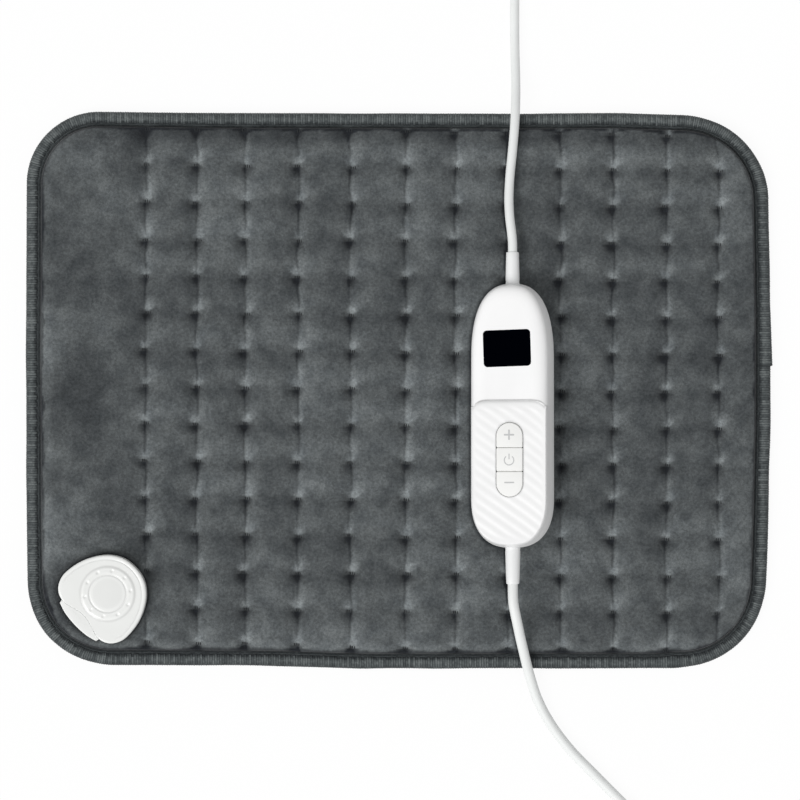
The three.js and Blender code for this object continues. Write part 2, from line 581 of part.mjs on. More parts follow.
// Coupling socket, from the back plate up
function makeSocket() {
  const plateTop = coverInside - gap;
  const plateFloor = plateTop - socket.plateThickness;
  const base = seatLevel + gap;
  const mouthFloor = base + socket.floorThickness;
  const mouthRoof = mouthFloor + socket.mouthHeight;
  const housingTop = mouthRoof + socket.roofThickness;
  const ledgeTop = housingTop + socket.ledgeRise;
  const screwTop = base + clampScrew.bite;
  const screwHole = ({ x, y }) =>
    rod(clampScrew.shankRadius + gap, plateFloor - overrun, screwTop + gap, x, y, roundSides.hole);

  const plateShape = socketOutline(ledgeFrontShares, -socket.plateInset);
  const plate = cut(join([prism(plateShape, plateFloor, plateTop, 1)]),
    clampScrewPlaces.map(screwHole));
  place(socketGroup, 'socket_backplate', toGeometry(plate), steel);

  const room = (x0, x1, roof) =>
    block(x1 - x0, 2 * socket.mouthHalfWidth, mouthFloor, roof, (x0 + x1) / 2);
  const mouth = room(socket.cavityFront - gap, socket.reach + overrun, mouthRoof);
  const cavity = room(socket.cavityBack, socket.cavityFront, housingTop + overrun);
  const housing = cut(join([
    prism(socketOutline(ledgeFrontShares, 0), base, housingTop, 2),
    prism(ledgeOutline(), housingTop - gap, ledgeTop),
  ]), [mouth, cavity, ...clampScrewPlaces.map(screwHole)]);
  place(socketGroup, 'socket_housing', toGeometry(housing), whiteGloss);

  const lidFloor = housingTop + gap;
  const lidTop = lidFloor + socket.lidThickness;
  const lidBlank = new THREE.ExtrudeGeometry(socketOutline(partingShares, 0), {
    depth: socket.lidThickness, bevelThickness: socket.lidRounding, bevelSize: socket.lidRounding,
    bevelOffset: -socket.lidRounding, bevelSegments: 1, curveSegments: 2,
  }).translate(0, 0, lidFloor - socket.lidRounding);
  const disc = rod(socket.ringRadius, lidFloor, lidTop + socket.ringRise, 0, 0, roundSides.disc);
  const discTop = lidTop + socket.ringRise;
  const grooveRadius = socket.discRadius + socket.grooveWidth;
  const around = [0, 0, roundSides.disc];
  const grooveBlank = rod(grooveRadius, discTop - socket.grooveDepth, discTop + overrun, ...around);
  const groove = cut(join([grooveBlank]), [
    rod(socket.discRadius, lidFloor, discTop + 2 * overrun, ...around),
  ]);
  const dimples = Array.from({ length: socket.dimples }, (unused, index) => {
    const angle = 2 * Math.PI * index / socket.dimples;
    const [x, y] = [socket.dimpleOrbit * Math.cos(angle), socket.dimpleOrbit * Math.sin(angle)];
    return rod(socket.dimpleRadius, discTop - socket.dimpleDepth, discTop + overrun, x, y, roundSides.dimple);
  });
  const blankFloor = lidFloor - 2 * socket.lidRounding - overrun;
  const belowLid = block(4 * socket.reach, 4 * socket.reach, blankFloor, lidFloor);
  const lid = cut(join([lidBlank, disc]).subtract(groove), [...dimples, belowLid]);
  place(socketGroup, 'socket_cover', toGeometry(lid), whiteGloss);

  const carrierBack = socket.cavityBack + gap;
  const carrierFront = socket.cavityFront - gap;
  const pinLevel = (mouthFloor + mouthRoof) / 2;
  const pinBack = carrierBack + pin.tail;
  const pinFront = carrierFront + pin.reach;
  const pinPlaces = pinRow();
  const pinHoles = pinPlaces.map((y) =>
    rodAlongX(pin.radius + gap, pinBack - gap, carrierFront + overrun, y, pinLevel, roundSides.pin));
  const pinBlock = cut(join([
    block(carrierFront - carrierBack, 2 * (socket.mouthHalfWidth - gap), mouthFloor + gap, housingTop,
      (carrierFront + carrierBack) / 2),
  ]), pinHoles);
  place(socketGroup, 'socket_pin_carrier', toGeometry(pinBlock), darkPlastic);
  pinPlaces.forEach((y, index) => {
    place(socketGroup, `socket_pin_${index + 1}`,
      rodAlongX(pin.radius, pinBack, pinFront, y, pinLevel, roundSides.pin), nickel);
  });
  clampScrewPlaces.forEach(({ x, y }, index) => {
    const headFloor = plateFloor - gap - clampScrew.headHeight;
    const screw = join([
      rod(clampScrew.headRadius, headFloor, plateFloor - gap, x, y),
      rod(clampScrew.shankRadius, plateFloor - 2 * gap, screwTop, x, y, roundSides.hole),
    ]);
    place(socketGroup, `socket_screw_${index + 1}`, toGeometry(screw), steel);
  });
}

// Handset outlines in its own frame: two superelliptic caps on straight sides
function handsetRing(inset, z, lift = 0) {
  const half = handset.width / 2 - inset;
  const power = 2 / handset.squareness;
  const rings = [];
  for (const [sign, cap] of [[1, handset.topCap], [-1, handset.bottomCap]]) {
    for (let step = 0; step <= handset.ringSteps; step += 1) {
      const angle = Math.PI * (step / handset.ringSteps + (sign > 0 ? 0 : 1));
      const across = Math.cos(angle);
      const along = Math.abs(Math.sin(angle));
      const x = half * Math.sign(across) * Math.abs(across) ** power;
      const y = sign * (handset.length / 2 - cap + (cap - inset) * along ** power);
      rings.push([x, y, z + lift * (2 * y / handset.length) ** 2]);
    }
  }
  return rings;
}

const faceRings = (extraInset, zShift) => faceDraftShares.map(([height, inset]) =>
  handsetRing(inset * handset.width / 2 + extraInset, height * (handset.faceHeight - zShift)));
const bellyRings = (extraInset, zShift) => bellyDraftShares.map(([depth, inset]) =>
  handsetRing(Math.max(inset, depth * extraInset / handset.width) * handset.width / 2 + extraInset,
    -gap - depth * (handset.bellyDepth - gap - zShift), depth * handset.keelRise));

const handsetGroup = new THREE.Group();
handsetGroup.rotation.set(
  THREE.MathUtils.degToRad(handset.pitch), THREE.MathUtils.degToRad(handset.roll), 0, 'XYZ');
model.add(handsetGroup);

const roofInside = handset.faceHeight - handset.wall;
const panelLevel = handset.faceHeight - handset.panelDepth;
const boardTop = board.bottom + board.thickness;
const keyHalf = keys.width / 2;
const lensY = lens.yShare * handset.length;
const boardLength = board.lengthShare * handset.length;
const boardY = board.yShare * handset.length;
const caseScrewPlaces = [caseScrew.topShare, caseScrew.bottomShare].flatMap((share) =>
  [-1, 1].map((side) => [side * caseScrew.x, share * handset.length]));
const keysTop = keys.topShare * handset.length;
const keySpan = (keys.topShare - keys.bottomShare) * handset.length;
const keyBand = ([from, to]) => [keysTop - to * keySpan, keysTop - from * keySpan];
const keyMiddle = keysTop - keySpan / 2;
const keyOutline = (shrink) =>
  evenOutline(keys.width - 2 * shrink, keySpan - 2 * shrink, keyHalf - shrink, 0, keyMiddle);
const lensOutline = (grow) =>
  evenOutline(lens.width + 2 * grow, lens.height + 2 * grow, lens.radius + grow, lens.x, lensY);

function alongHandset(profile, direction) {
  const points = profile.map(([radius, along]) => new THREE.Vector2(radius, along));
  const sleeveBody = new THREE.LatheGeometry(points, roundSides.sleeve);
  return direction > 0 ? sleeveBody : sleeveBody.rotateX(Math.PI);
}

function glandGeometry(sleeve, direction) {
  const wallFace = handset.length / 2;
  const collarEnd = wallFace - handset.wall - gap;
  const { rootRadius, tipRadius, collarRadius } = sleeve;
  return alongHandset([
    [0, collarEnd - sleeve.collarLength], [collarRadius, collarEnd - sleeve.collarLength],
    [collarRadius, collarEnd], [rootRadius, collarEnd], [rootRadius, wallFace + gap],
    [tipRadius, wallFace + sleeve.length], [0, wallFace + sleeve.length],
  ], direction);
}

// The room that a gland takes in the shells: its collar's pocket and the hole for its sleeve
function glandHole(sleeve, direction) {
  const collarEnd = handset.length / 2 - handset.wall;
  const collarStart = collarEnd - sleeve.collarLength - 2 * gap;
  const pocketRadius = sleeve.collarRadius + gap;
  const holeRadius = sleeve.rootRadius + gap;
  return alongHandset([
    [0, collarStart], [pocketRadius, collarStart], [pocketRadius, collarEnd], [holeRadius, collarEnd],
    [holeRadius, handset.length / 2 + overrun], [0, handset.length / 2 + overrun],
  ], direction);
}

// Handset shells
function makeFrontShell() {
  const wallInset = handset.wall;
  const outer = loft(faceRings(0, 0));
  const hollow = loft([
    handsetRing(wallInset, -overrun),
    ...faceRings(wallInset, handset.wall).slice(0, 3),
    handsetRing(faceDraftShares[3][1] * handset.width / 2 + wallInset, roofInside),
  ]);
  const panelHalf = handset.width / 2 - handset.panelMargin;
  const panelBottom = -handset.length / 2 + handset.panelMargin;
  const panelTop = panelTopShare * handset.length;
  const panelRadii = [panelHalf - gap, handset.wall, handset.wall, panelHalf - gap];
  const panelShape = roundedOutline(panelHalf, (panelTop - panelBottom) / 2, panelRadii, 0,
    (panelTop + panelBottom) / 2);
  const panel = prism(panelShape, panelLevel, handset.faceHeight + overrun);
  const window = prism(lensOutline(gap), roofInside - overrun, handset.faceHeight + overrun);
  const keySlot = prism(keyOutline(0), roofInside - overrun, handset.faceHeight + overrun, 8);
  const bosses = caseScrewPlaces.map(([x, y]) => rod(caseScrew.bossRadius, boardTop, roofInside + gap, x, y));
  const bites = caseScrewPlaces.map(([x, y]) =>
    rod(caseScrew.shankRadius + gap, boardTop - overrun, boardTop + caseScrew.bite + gap, x, y,
      roundSides.hole));
  const skin = cut(join([outer]), [hollow, panel, window, keySlot]);
  const shell = cut(skin.add(join(bosses)), [...bites, glandHole(mainsGland, 1), glandHole(padGland, -1)]);
  place(handsetGroup, 'handset_front_shell', toGeometry(shell), whiteGloss);
}

function makeBackShell() {
  const outer = loft(bellyRings(0, 0));
  const hollow = loft([
    ...bellyRings(handset.wall, handset.wall).slice(0, -1),
    handsetRing(handset.wall, overrun),
  ]);
  const seatTop = board.bottom - gap;
  const postHeights = [-handset.bellyDepth, seatTop];
  const posts = boardPostShares.map(([shareX, shareY]) =>
    rod(board.postRadius, ...postHeights, shareX * board.width, boardY + shareY * boardLength));
  const bosses = caseScrewPlaces.map(([x, y]) =>
    rod(caseScrew.seatBossRadius, -handset.bellyDepth, boardTop - gap, x, y));
  const counterbores = caseScrewPlaces.map(([x, y]) =>
    rod(caseScrew.headRadius + gap, -handset.bellyDepth - overrun, -caseScrew.seatDepth, x, y));
  const shankHoles = caseScrewPlaces.map(([x, y]) =>
    rod(caseScrew.shankRadius + gap, -handset.bellyDepth - overrun, boardTop + overrun, x, y,
      roundSides.hole));
  const envelope = loft([
    ...bellyRings(gap, gap).slice(0, -1),
    handsetRing(handset.wall, boardTop + overrun),
  ]);
  const insides = clip(join([...posts, ...bosses]), envelope);
  const skin = cut(join([outer]), [hollow]);
  const shell = cut(skin.add(insides),
    [...counterbores, ...shankHoles, glandHole(mainsGland, 1), glandHole(padGland, -1)]);
  place(handsetGroup, 'handset_back_shell', toGeometry(shell), greyShell);
}

// Display, board and what stands on it
function makeElectronics() {
  const lensFloor = handset.faceHeight - lens.thickness;
  place(handsetGroup, 'display_lens', prism(lensOutline(0), lensFloor, handset.faceHeight), glassBlack);
  const partFloor = boardTop + gap;
  place(handsetGroup, 'display_module',
    block(lens.width, lens.height, partFloor, lensFloor - gap, lens.x, lensY), darkPlastic);
  const plateShape = evenOutline(board.width, boardLength, board.radius, 0, boardY);
  const along = ({ yShare }) => yShare * handset.length;
  place(handsetGroup, 'circuit_board', prism(plateShape, board.bottom, boardTop), boardGreen);
  place(handsetGroup, 'relay', block(relay.length, relay.width, partFloor,
    partFloor + relay.height, relay.x, along(relay)), darkPlastic);
  place(handsetGroup, 'smoothing_capacitor',
    rod(smoothing.radius, partFloor, partFloor + smoothing.height, smoothing.x, along(smoothing),
      roundSides.sleeve), darkPlastic);
  place(handsetGroup, 'suppression_capacitor', block(suppression.length, suppression.width, partFloor,
    partFloor + suppression.height, suppression.x, along(suppression)), darkPlastic);
  place(handsetGroup, 'controller_chip',
    block(chip.side, chip.side, partFloor, partFloor + chip.height, chip.x, along(chip)), darkPlastic);
  place(handsetGroup, 'fuse',
    rodAlongX(fuse.radius, -fuse.length / 2, fuse.length / 2, along(fuse), partFloor + fuse.radius), nickel);
  caseScrewPlaces.forEach(([x, y], index) => {
    const headTop = -caseScrew.seatDepth - gap;
    const screw = join([
      rod(caseScrew.headRadius, headTop - caseScrew.headHeight, headTop, x, y),
      rod(caseScrew.shankRadius, headTop - gap, boardTop + caseScrew.bite, x, y, roundSides.hole),
    ]);
    place(handsetGroup, `handset_screw_${index + 1}`, toGeometry(screw), steel);
  });
}

// Buttons: cap, flange under the shell and stem down to the switch's plunger
function makeButtons() {
  const keyTop = panelLevel + keys.proud;
  const capFloor = roofInside - keys.flangeSlack - keys.flangeThickness;
  const switchFloor = boardTop + gap;
  const switchTop = switchFloor + tact.height;
  const plungerFloor = switchTop - tact.plungerSeat;
  const plungerTop = switchTop + tact.plungerProud;
  for (const [name, shares] of Object.entries(keyCutShares)) {
    const [low, high] = keyBand(shares);
    const middle = (low + high) / 2;
    const span = high - low - keys.seamGap;
    const cap = clip(join([prism(keyOutline(keys.slotGap), capFloor, keyTop, 8)]),
      block(2 * keys.width, span, capFloor - overrun, keyTop + overrun, 0, middle));
    const flange = block(keys.width + 2 * keys.flange, span - 2 * keys.skirt, capFloor,
      roofInside - keys.flangeSlack, 0, middle);
    const stem = rod(keys.stemRadius, plungerTop + gap, capFloor + gap, 0, middle);
    place(handsetGroup, `button_${name}`, toGeometry(cap.add(join([flange, stem]))), buttonWhite);
    const seatFloor = plungerFloor - keys.travel - gap;
    const seat = rod(tact.plungerRadius + tact.plungerGap, seatFloor, switchTop + overrun, 0, middle);
    const base = cut(join([block(tact.side, tact.side, switchFloor, switchTop, 0, middle)]), [seat]);
    place(handsetGroup, `switch_base_${name}`, toGeometry(base), darkPlastic);
    place(handsetGroup, `switch_plunger_${name}`,
      rod(tact.plungerRadius, plungerFloor, plungerTop, 0, middle), darkPlastic);
  }
}

// The handset lies on the quilt: it comes down until its belly almost meets the plush
function seatHandset() {
  const shell = handsetGroup.getObjectByName('handset_back_shell').geometry;
  handsetGroup.position.set(handset.x, handset.y, 0);
  handsetGroup.updateMatrixWorld(true);
  const places = shell.attributes.position;
  let lift = -Infinity;
  for (let vertex = 0; vertex < places.count; vertex += 1) {
    const point = new THREE.Vector3().fromBufferAttribute(places, vertex);
    point.applyMatrix4(handsetGroup.matrixWorld);
    lift = Math.max(lift, coverCrown - point.z);
  }
  handsetGroup.position.z = lift + gap;
  handsetGroup.updateMatrixWorld(true);
}

// Where a gland's tip lies and which way it points, in the part's frame
function glandTip(sleeve, direction) {
  const tip = new THREE.Vector3(0, direction * (handset.length / 2 + sleeve.length), 0);
  const along = new THREE.Vector3(0, direction, 0).transformDirection(handsetGroup.matrixWorld);
  return { tip: handsetGroup.localToWorld(tip), along };
}

// The middle line of a coil: it spirals in and out at a steady rate, layer on layer, and climbs
// a layer in the half turn where the spiral reverses
function coilPath(coil, cord) {
  const pitch = cord.diameter + coilForm.turnGap;
  const floor = tie.thickness + gap + cord.diameter / 2;
  const layerAngle = 2 * Math.PI * coil.turnsPerLayer;
  const outer = coil.innerRadius + pitch * coil.turnsPerLayer;
  const steps = coilForm.stepsPerTurn * coil.turnsPerLayer * coil.layers;
  const points = [];
  for (let step = 0; step <= steps; step += 1) {
    const angle = 2 * Math.PI * step / coilForm.stepsPerTurn;
    const layer = Math.min(Math.floor(angle / layerAngle), coil.layers - 1);
    const drawn = pitch * (angle - layer * layerAngle) / (2 * Math.PI);
    const radius = layer % 2 === 0 ? outer - drawn : coil.innerRadius + drawn;
    let climbed = 0;
    for (let turn = 1; turn < coil.layers; turn += 1) {
      const share = (angle - turn * layerAngle + Math.PI / 2) / Math.PI;
      climbed += Math.min(Math.max(share, 0), 1);
    }
    const azimuth = THREE.MathUtils.degToRad(coil.start) + coil.sense * angle;
    points.push([
      coil.x + radius * Math.cos(azimuth), coil.y + radius * Math.sin(azimuth), floor + climbed * pitch,
    ]);
  }
  const azimuth = THREE.MathUtils.degToRad(coil.start);
  const along = [-coil.sense * Math.sin(azimuth), coil.sense * Math.cos(azimuth)];
  const lead = points[0].map((value, axis) => value - (along[axis] ?? 0) * cord.diameter);
  const endAngle = azimuth + coil.sense * layerAngle * coil.layers;
  const away = [-coil.sense * Math.sin(endAngle), coil.sense * Math.cos(endAngle)];
  const exit = points.at(-1).map((value, axis) => value + (away[axis] ?? 0) * cord.diameter);
  return { points: [lead, ...points, exit], along, away };
}

// Least distance between stretches of one coil that are more than half a turn apart
function leastGap(points, diameter) {
  let least = Infinity;
  const apart = coilForm.stepsPerTurn / 2;
  for (let first = 0; first < points.length; first += 1) {
    for (let second = first + apart; second < points.length; second += 1) {
      const [a, b] = [points[first], points[second]];
      least = Math.min(least, Math.hypot(a[0] - b[0], a[1] - b[1], a[2] - b[2]));
    }
  }
  return least - diameter;
}

// The tie: a band closed round the bundle of turns
function tieGeometry(coil, cord) {
  const pitch = cord.diameter + coilForm.turnGap;
  const inner = coil.innerRadius - cord.diameter / 2 - gap;
  const outer = coil.innerRadius + pitch * coil.turnsPerLayer + cord.diameter / 2 + gap;
  const top = tie.thickness + gap + cord.diameter + pitch * (coil.layers - 1) + gap;
  const cornerRadius = cord.diameter / 4;
  const band = evenOutline(outer - inner + 2 * tie.thickness, top + tie.thickness,
    cornerRadius + tie.thickness);
  const hole = evenOutline(outer - inner, top - tie.thickness, cornerRadius);
  band.holes.push(new THREE.Path(hole.getPoints(3).reverse()));
  return new THREE.ExtrudeGeometry(band, { depth: tie.width, bevelEnabled: false, curveSegments: 3 })
    .translate((inner + outer) / 2, (top + tie.thickness) / 2, -tie.width / 2)
    .rotateX(Math.PI / 2)
    .rotateZ(THREE.MathUtils.degToRad(tie.azimuth))
    .translate(coil.x, coil.y, 0);
}

// One lead: free stretch from its gland, coil, tie and the tail that ends at the plug or connector
function makeLead(name, cord, sleeve, direction, route, coil, tailRoute, end) {
  const { tip, along } = glandTip(sleeve, direction);
  const path = coilPath(coil, cord);
  const start = tip.clone().addScaledVector(along, gap);
  const second = tip.clone().addScaledVector(along, cord.diameter);
  const meet = path.points[0].map((value, axis) => value - (path.along[axis] ?? 0) * gap);
  const meetStart = path.points[0].map((value, axis) => value - (path.along[axis] ?? 0) * cord.diameter);
  const stretch = [start.toArray(), second.toArray(), ...route, meetStart, meet];
  place(model, name, freeCord(stretch, cord), cordWhite);
  place(model, `${name}_coil`, wound(path.points, cord.diameter / 2, coilForm.sides), cordWhite);
  place(model, `${name}_tie`, tieGeometry(coil, cord), tieBlack);
  const leave = path.points.at(-1).map((value, axis) => value + (path.away[axis] ?? 0) * gap);
  const leaveEnd = path.points.at(-1).map((value, axis) => value + (path.away[axis] ?? 0) * cord.diameter);
  const arrive = [end.x + gap + cord.diameter, end.y, end.z];
  const arriveEnd = [end.x + gap, end.y, end.z];
  const tail = [leave, leaveEnd, ...tailRoute, arrive, arriveEnd];
  place(model, `${name}_tail`, freeCord(tail, cord), cordWhite);
  const least = leastGap(path.points.slice(1, -1), cord.diameter);
  console.log(`${name}: least gap of the coil ${least.toFixed(2)} mm`);
}

// A tapered strain relief along -X, from the cord's end into the housing behind it
function reliefGeometry({ x, y, glandLength, glandRadius, glandTipRadius, glandSeat }, z) {
  const profile = [
    [0, 0], [glandTipRadius, 0], [glandRadius, glandLength], [glandRadius, glandLength + glandSeat],
    [0, glandLength + glandSeat],
  ].map(([radius, along]) => new THREE.Vector2(radius, along));
  return new THREE.LatheGeometry(profile, roundSides.sleeve).rotateZ(Math.PI / 2).translate(x, y, z);
}

// Flat two-pin mains plug, lying on its side with its pins along -X
function makePlug() {
  const z = plug.height / 2;
  const back = plug.x - plug.glandLength - gap;
  const face = back - plug.depth;
  const rings = plugLoftShares.map(([depth, wide, tall]) =>
    Array.from({ length: plugSides }, (unused, side) => {
      const angle = 2 * Math.PI * side / plugSides;
      const across = Math.sign(Math.cos(angle)) * Math.abs(Math.cos(angle)) ** plugSquareness;
      const rise = Math.sign(Math.sin(angle)) * Math.abs(Math.sin(angle)) ** plugSquareness;
      const y = plug.y - across * wide * plug.width / 2;
      return [back - depth * plug.depth, y, z + rise * tall * plug.height / 2];
    }));
  const sides = [-1, 1].map((side) => plug.y + side * plug.pinSpacing / 2);
  const sleeves = sides.map((y) => rodAlongX(plug.pinRadius + gap + plug.sleeveWall, face - plug.sleeveLength,
    face + overrun, y, z));
  const bores = sides.map((y) => rodAlongX(plug.pinRadius + gap, face - plug.sleeveLength - overrun,
    face + plug.pinSeat + gap, y, z));
  const reliefSeat = rodAlongX(plug.glandRadius + gap, back - plug.glandSeat, back + overrun, plug.y, z);
  const housing = cut(join([loft(rings), ...sleeves]), [...bores, reliefSeat]);
  place(model, 'mains_plug_body', toGeometry(housing), whiteGloss);
  const relief = reliefGeometry({ ...plug, glandSeat: plug.glandSeat - gap }, z);
  place(model, 'mains_plug_gland', relief, cordWhite);
  sides.forEach((y, index) => {
    place(model, `mains_plug_pin_${index + 1}`,
      rodAlongX(plug.pinRadius, face - plug.pinLength, face + plug.pinSeat, y, z), nickel);
  });
}

// Flat connector of the pad lead: two shells round a contact block whose tongue looks along -X
function makeConnector() {
  const z = connector.thickness / 2;
  const back = connector.x - connector.glandLength - gap;
  const middle = back - connector.depth / 2;
  const front = back - connector.depth;
  const blank = new THREE.ExtrudeGeometry(
    evenOutline(connector.depth, connector.width, connector.cornerRadius, middle, connector.y), {
      depth: connector.thickness - 2 * connector.rounding, bevelThickness: connector.rounding,
      bevelSize: connector.rounding, bevelOffset: -connector.rounding, bevelSegments: 1, curveSegments: 4,
    }).translate(0, 0, connector.rounding);
  const blockBack = front + connector.tongueSeat;
  const blockFront = front - connector.tongueReach;
  const tongue = (grow) => block(blockBack - blockFront + 2 * grow, connector.tongueWidth + 2 * grow,
    z - connector.tongueHeight / 2 - grow, z + connector.tongueHeight / 2 + grow,
    (blockBack + blockFront) / 2, connector.y);
  const reliefSeat = rodAlongX(connector.glandRadius + gap, back - connector.glandSeat, back + overrun,
    connector.y, z);
  const slab = (z0, z1) => block(2 * connector.depth, 2 * connector.width, z0, z1, middle, connector.y);
  const cavities = [tongue(gap), reliefSeat];
  const whole = cut(join([blank]), cavities);
  const lower = clip(whole, slab(-overrun, z - gap / 2));
  const upper = clip(whole, slab(z + gap / 2, connector.thickness + overrun));
  place(model, 'connector_lower_shell', toGeometry(lower), whiteGloss);
  place(model, 'connector_upper_shell', toGeometry(upper), whiteGloss);
  const contacts = pinRow().map((y) => rodAlongX(connector.contactRadius, blockFront - overrun,
    blockFront + connector.contactDepth, connector.y + y, z, roundSides.pin));
  place(model, 'connector_contact_block', toGeometry(cut(join([tongue(0)]), contacts)), darkPlastic);
  const relief = reliefGeometry({ ...connector, glandSeat: connector.glandSeat - gap }, z);
  place(model, 'connector_gland', relief, cordWhite);
}

makeCovers();
makeBinding();
makeHeater();
makeSocket();
makeFrontShell();
makeBackShell();
makeElectronics();
makeButtons();
seatHandset();
place(handsetGroup, 'mains_gland', glandGeometry(mainsGland, 1), greyShell);
place(handsetGroup, 'pad_lead_gland', glandGeometry(padGland, -1), greyShell);
makeLead('mains_lead', mainsLead, mainsGland, 1, mainsRoute, mainsCoil, mainsTailRoute,
  { x: plug.x, y: plug.y, z: plug.height / 2 });
makeLead('pad_lead', padLead, padGland, -1, padRoute, padCoil, padTailRoute,
  { x: connector.x, y: connector.y, z: connector.thickness / 2 });
makePlug();
makeConnector();

export default model;
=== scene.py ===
import math
import bmesh
import bpy
import numpy as np
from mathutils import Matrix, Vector


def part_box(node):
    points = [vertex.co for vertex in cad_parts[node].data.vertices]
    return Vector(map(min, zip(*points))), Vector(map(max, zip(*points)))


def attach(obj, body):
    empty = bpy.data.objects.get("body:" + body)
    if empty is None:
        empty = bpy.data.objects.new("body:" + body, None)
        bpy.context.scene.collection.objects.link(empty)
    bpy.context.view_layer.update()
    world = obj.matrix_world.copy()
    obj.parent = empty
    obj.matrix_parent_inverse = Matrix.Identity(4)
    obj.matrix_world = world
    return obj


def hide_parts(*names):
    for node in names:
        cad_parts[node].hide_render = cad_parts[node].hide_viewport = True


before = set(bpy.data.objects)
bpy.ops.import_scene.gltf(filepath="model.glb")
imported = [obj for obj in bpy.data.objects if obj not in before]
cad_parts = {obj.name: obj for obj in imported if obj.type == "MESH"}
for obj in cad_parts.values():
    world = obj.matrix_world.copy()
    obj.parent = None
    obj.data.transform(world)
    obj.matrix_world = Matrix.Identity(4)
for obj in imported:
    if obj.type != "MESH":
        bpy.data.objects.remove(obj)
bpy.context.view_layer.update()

# Heating pad with a handset controller. Sizes are in millimetres and become metres in each mesh.
MM = 0.001
GAP = 0.3
# Degrees from which an edge counts as sharp, on moulded pieces and on cloth
SHARP_ANGLE, SOFT_ANGLE = 35, 80
# The least radius of a corner, and how close points lie that are joined
LEAST_RADIUS, WELD = 0.05, 0.004

# What the camera sees: straight down on the pad
VIEW_CENTRE = (0.9, -5.3, 4.0)
VIEW_WIDTH = 431.5
LENS = 250.0
SENSOR = 36.0

# The pad
PAD_LENGTH, PAD_WIDTH = 400.0, 300.0
CORNER, TIGHT_CORNER = 47.0, 39.0
EDGE_INSET = 2.2
BINDING_WIDTH = 8.0
EDGE_FALL = 14.0
POCKET_INSET = 14.0
# Reach of the folds beyond the first and the last tack column, and the step of each cover's grid
FIELD_SPACE, MARGIN_SPACE = 40.0, 34.0
TOP_STEP, UNDER_STEP = 1.05, 3.4
CROWN, EDGE_LEVEL, LOWEST_TOP, PILE = 10.9, 8.2, 7.1, 0.35
COVER_FLOOR, COVER_INSIDE, RIM_ROOF = 3.7, 6.7, 5.5
UNDER_ROOF, UNDER_RIM = 3.4, 1.6
COLUMNS = np.array([-135.6, -108.3, -82.2, -53.6, -25.4, 4.2, 31.1, 58.9, 87.6, 115.9, 144.5, 172.8])
ROW_COUNT, ROW_PITCH, ROW_FALL = 15, 19.9, 0.0097
ROWS = (np.arange(ROW_COUNT) - (ROW_COUNT - 1) / 2) * ROW_PITCH

# Coupling socket, turned at the pad's corner
SOCKET_PLACE = (-155.9, -109.2)
SOCKET_TURN = math.radians(223.4)
SOCKET_REACH, SOCKET_HALF = 24.4, 23.7
SOCKET_BASE, HOUSING_TOP, LID_FLOOR, LID_TOP, LEDGE_TOP = 8.9, 17.6, 17.9, 20.9, 20.2
SEAT_LEVEL = 8.5
# The room for the pins: its floor, its roof at the mouth and further in, and a level clear above
ROOM_FLOOR, MOUTH_ROOF, ROOM_ROOF, ABOVE_SOCKET = 11.2, 16.4, 19.0, 24.0
# Half sizes and middles of the mouth and of the room behind it
MOUTH_HALF, MOUTH_MIDDLE = (7.2, 11.0), (18.0, 0.0)
ROOM_HALF, ROOM_MIDDLE = (9.5, 11.0), (1.5, 0.0)

# Handset
HANDSET_LENGTH, HANDSET_WIDTH = 141.6, 44.5
TOP_CAP, BOTTOM_CAP, SQUARENESS = 42.0, 27.5, 2.5
FACE_HEIGHT, BELLY_DEPTH, KEEL_RISE, WALL = 13.2, 9.0, 2.0, 2.2
PANEL_LEVEL, PANEL_TOP = 12.4, 7.3
ROOF_INSIDE = FACE_HEIGHT - WALL
HANDSET_PITCH, HANDSET_ROLL = math.radians(-2.5), math.radians(-9.0)
BOARD_MIDDLE = (0.0, -1.501, 2.8)
# Where the handset's middle line lies across the pad
HANDSET_X = 61.3
DISPLAY_HALF, DISPLAY_CORNER, DISPLAY_FLOOR = (12.65, 9.7), 2.0, 10.9
DISPLAY_PLACE, DISPLAY_TURN = (-1.25, 35.6), math.radians(1.7)
SCREW_PLACES = [(x, y, 0) for y in (55, -57) for x in (-9.5, 9.5)]
SCREW_HOLE, SCREW_SEAT = 2.7, -4.3
MAINS_GLAND = {"side": 1, "length": 17.0, "root": 3.75, "tip": 3.4, "hole": 4.0}
PAD_GLAND = {"side": -1, "length": 19.4, "root": 4.05, "tip": 3.45, "hole": 4.3}
KEYS_TOP, KEYS_BOTTOM, KEYS_HALF = -4.0, -43.9, 7.3
# Shares of the capsule's length where it is cut into keys, and how high the keys reach and stand
KEY_CUT_SHARES = (0.338, 0.657)
KEY_RISE, KEY_FLOOR, FLANGE_TOP, STEM_FLOOR = 0.6, 9.4, 10.5, 7.3
KEY_SIGN_PLACES = {"plus": -10.7, "power": -24.0, "minus": -36.2}

# Leads
TURN_GAP, TIE_THICKNESS, TIE_WIDTH, TIE_AZIMUTH = 0.6, 0.6, 7.0, math.radians(135)
MAINS = {"diameter": 5.0, "centre": (27.8, 258.0), "inner": 21.0, "turns": 2.5, "layers": 4, "start": 0.0,
         "sense": 1}
PAD_LEAD = {"diameter": 5.5, "centre": (122.8, -272.7), "inner": 28.0, "turns": 1.0, "layers": 2,
            "start": math.radians(45), "sense": -1}
MAINS_ROUTE = [
    (61.3, 72.3, 18.9), (61.3, 79.0, 18.6), (60.8, 84.5, 18.2), (59.8, 93, 17.1), (59.4, 103, 15.6),
    (60, 115, 14.3), (61.2, 127, 13.8), (62.3, 139, 12.9), (63, 150, 10.7), (63.3, 161, 7.6),
    (63.2, 172, 4.8), (62.9, 184, 3.1), (62.8, 197, 2.7), (62.8, 212, 2.7), (62.8, 228, 2.9),
    (62.8, 241, 3.3), (62.8, 248, 3.4), (62.8, 252.7, 3.4),
]
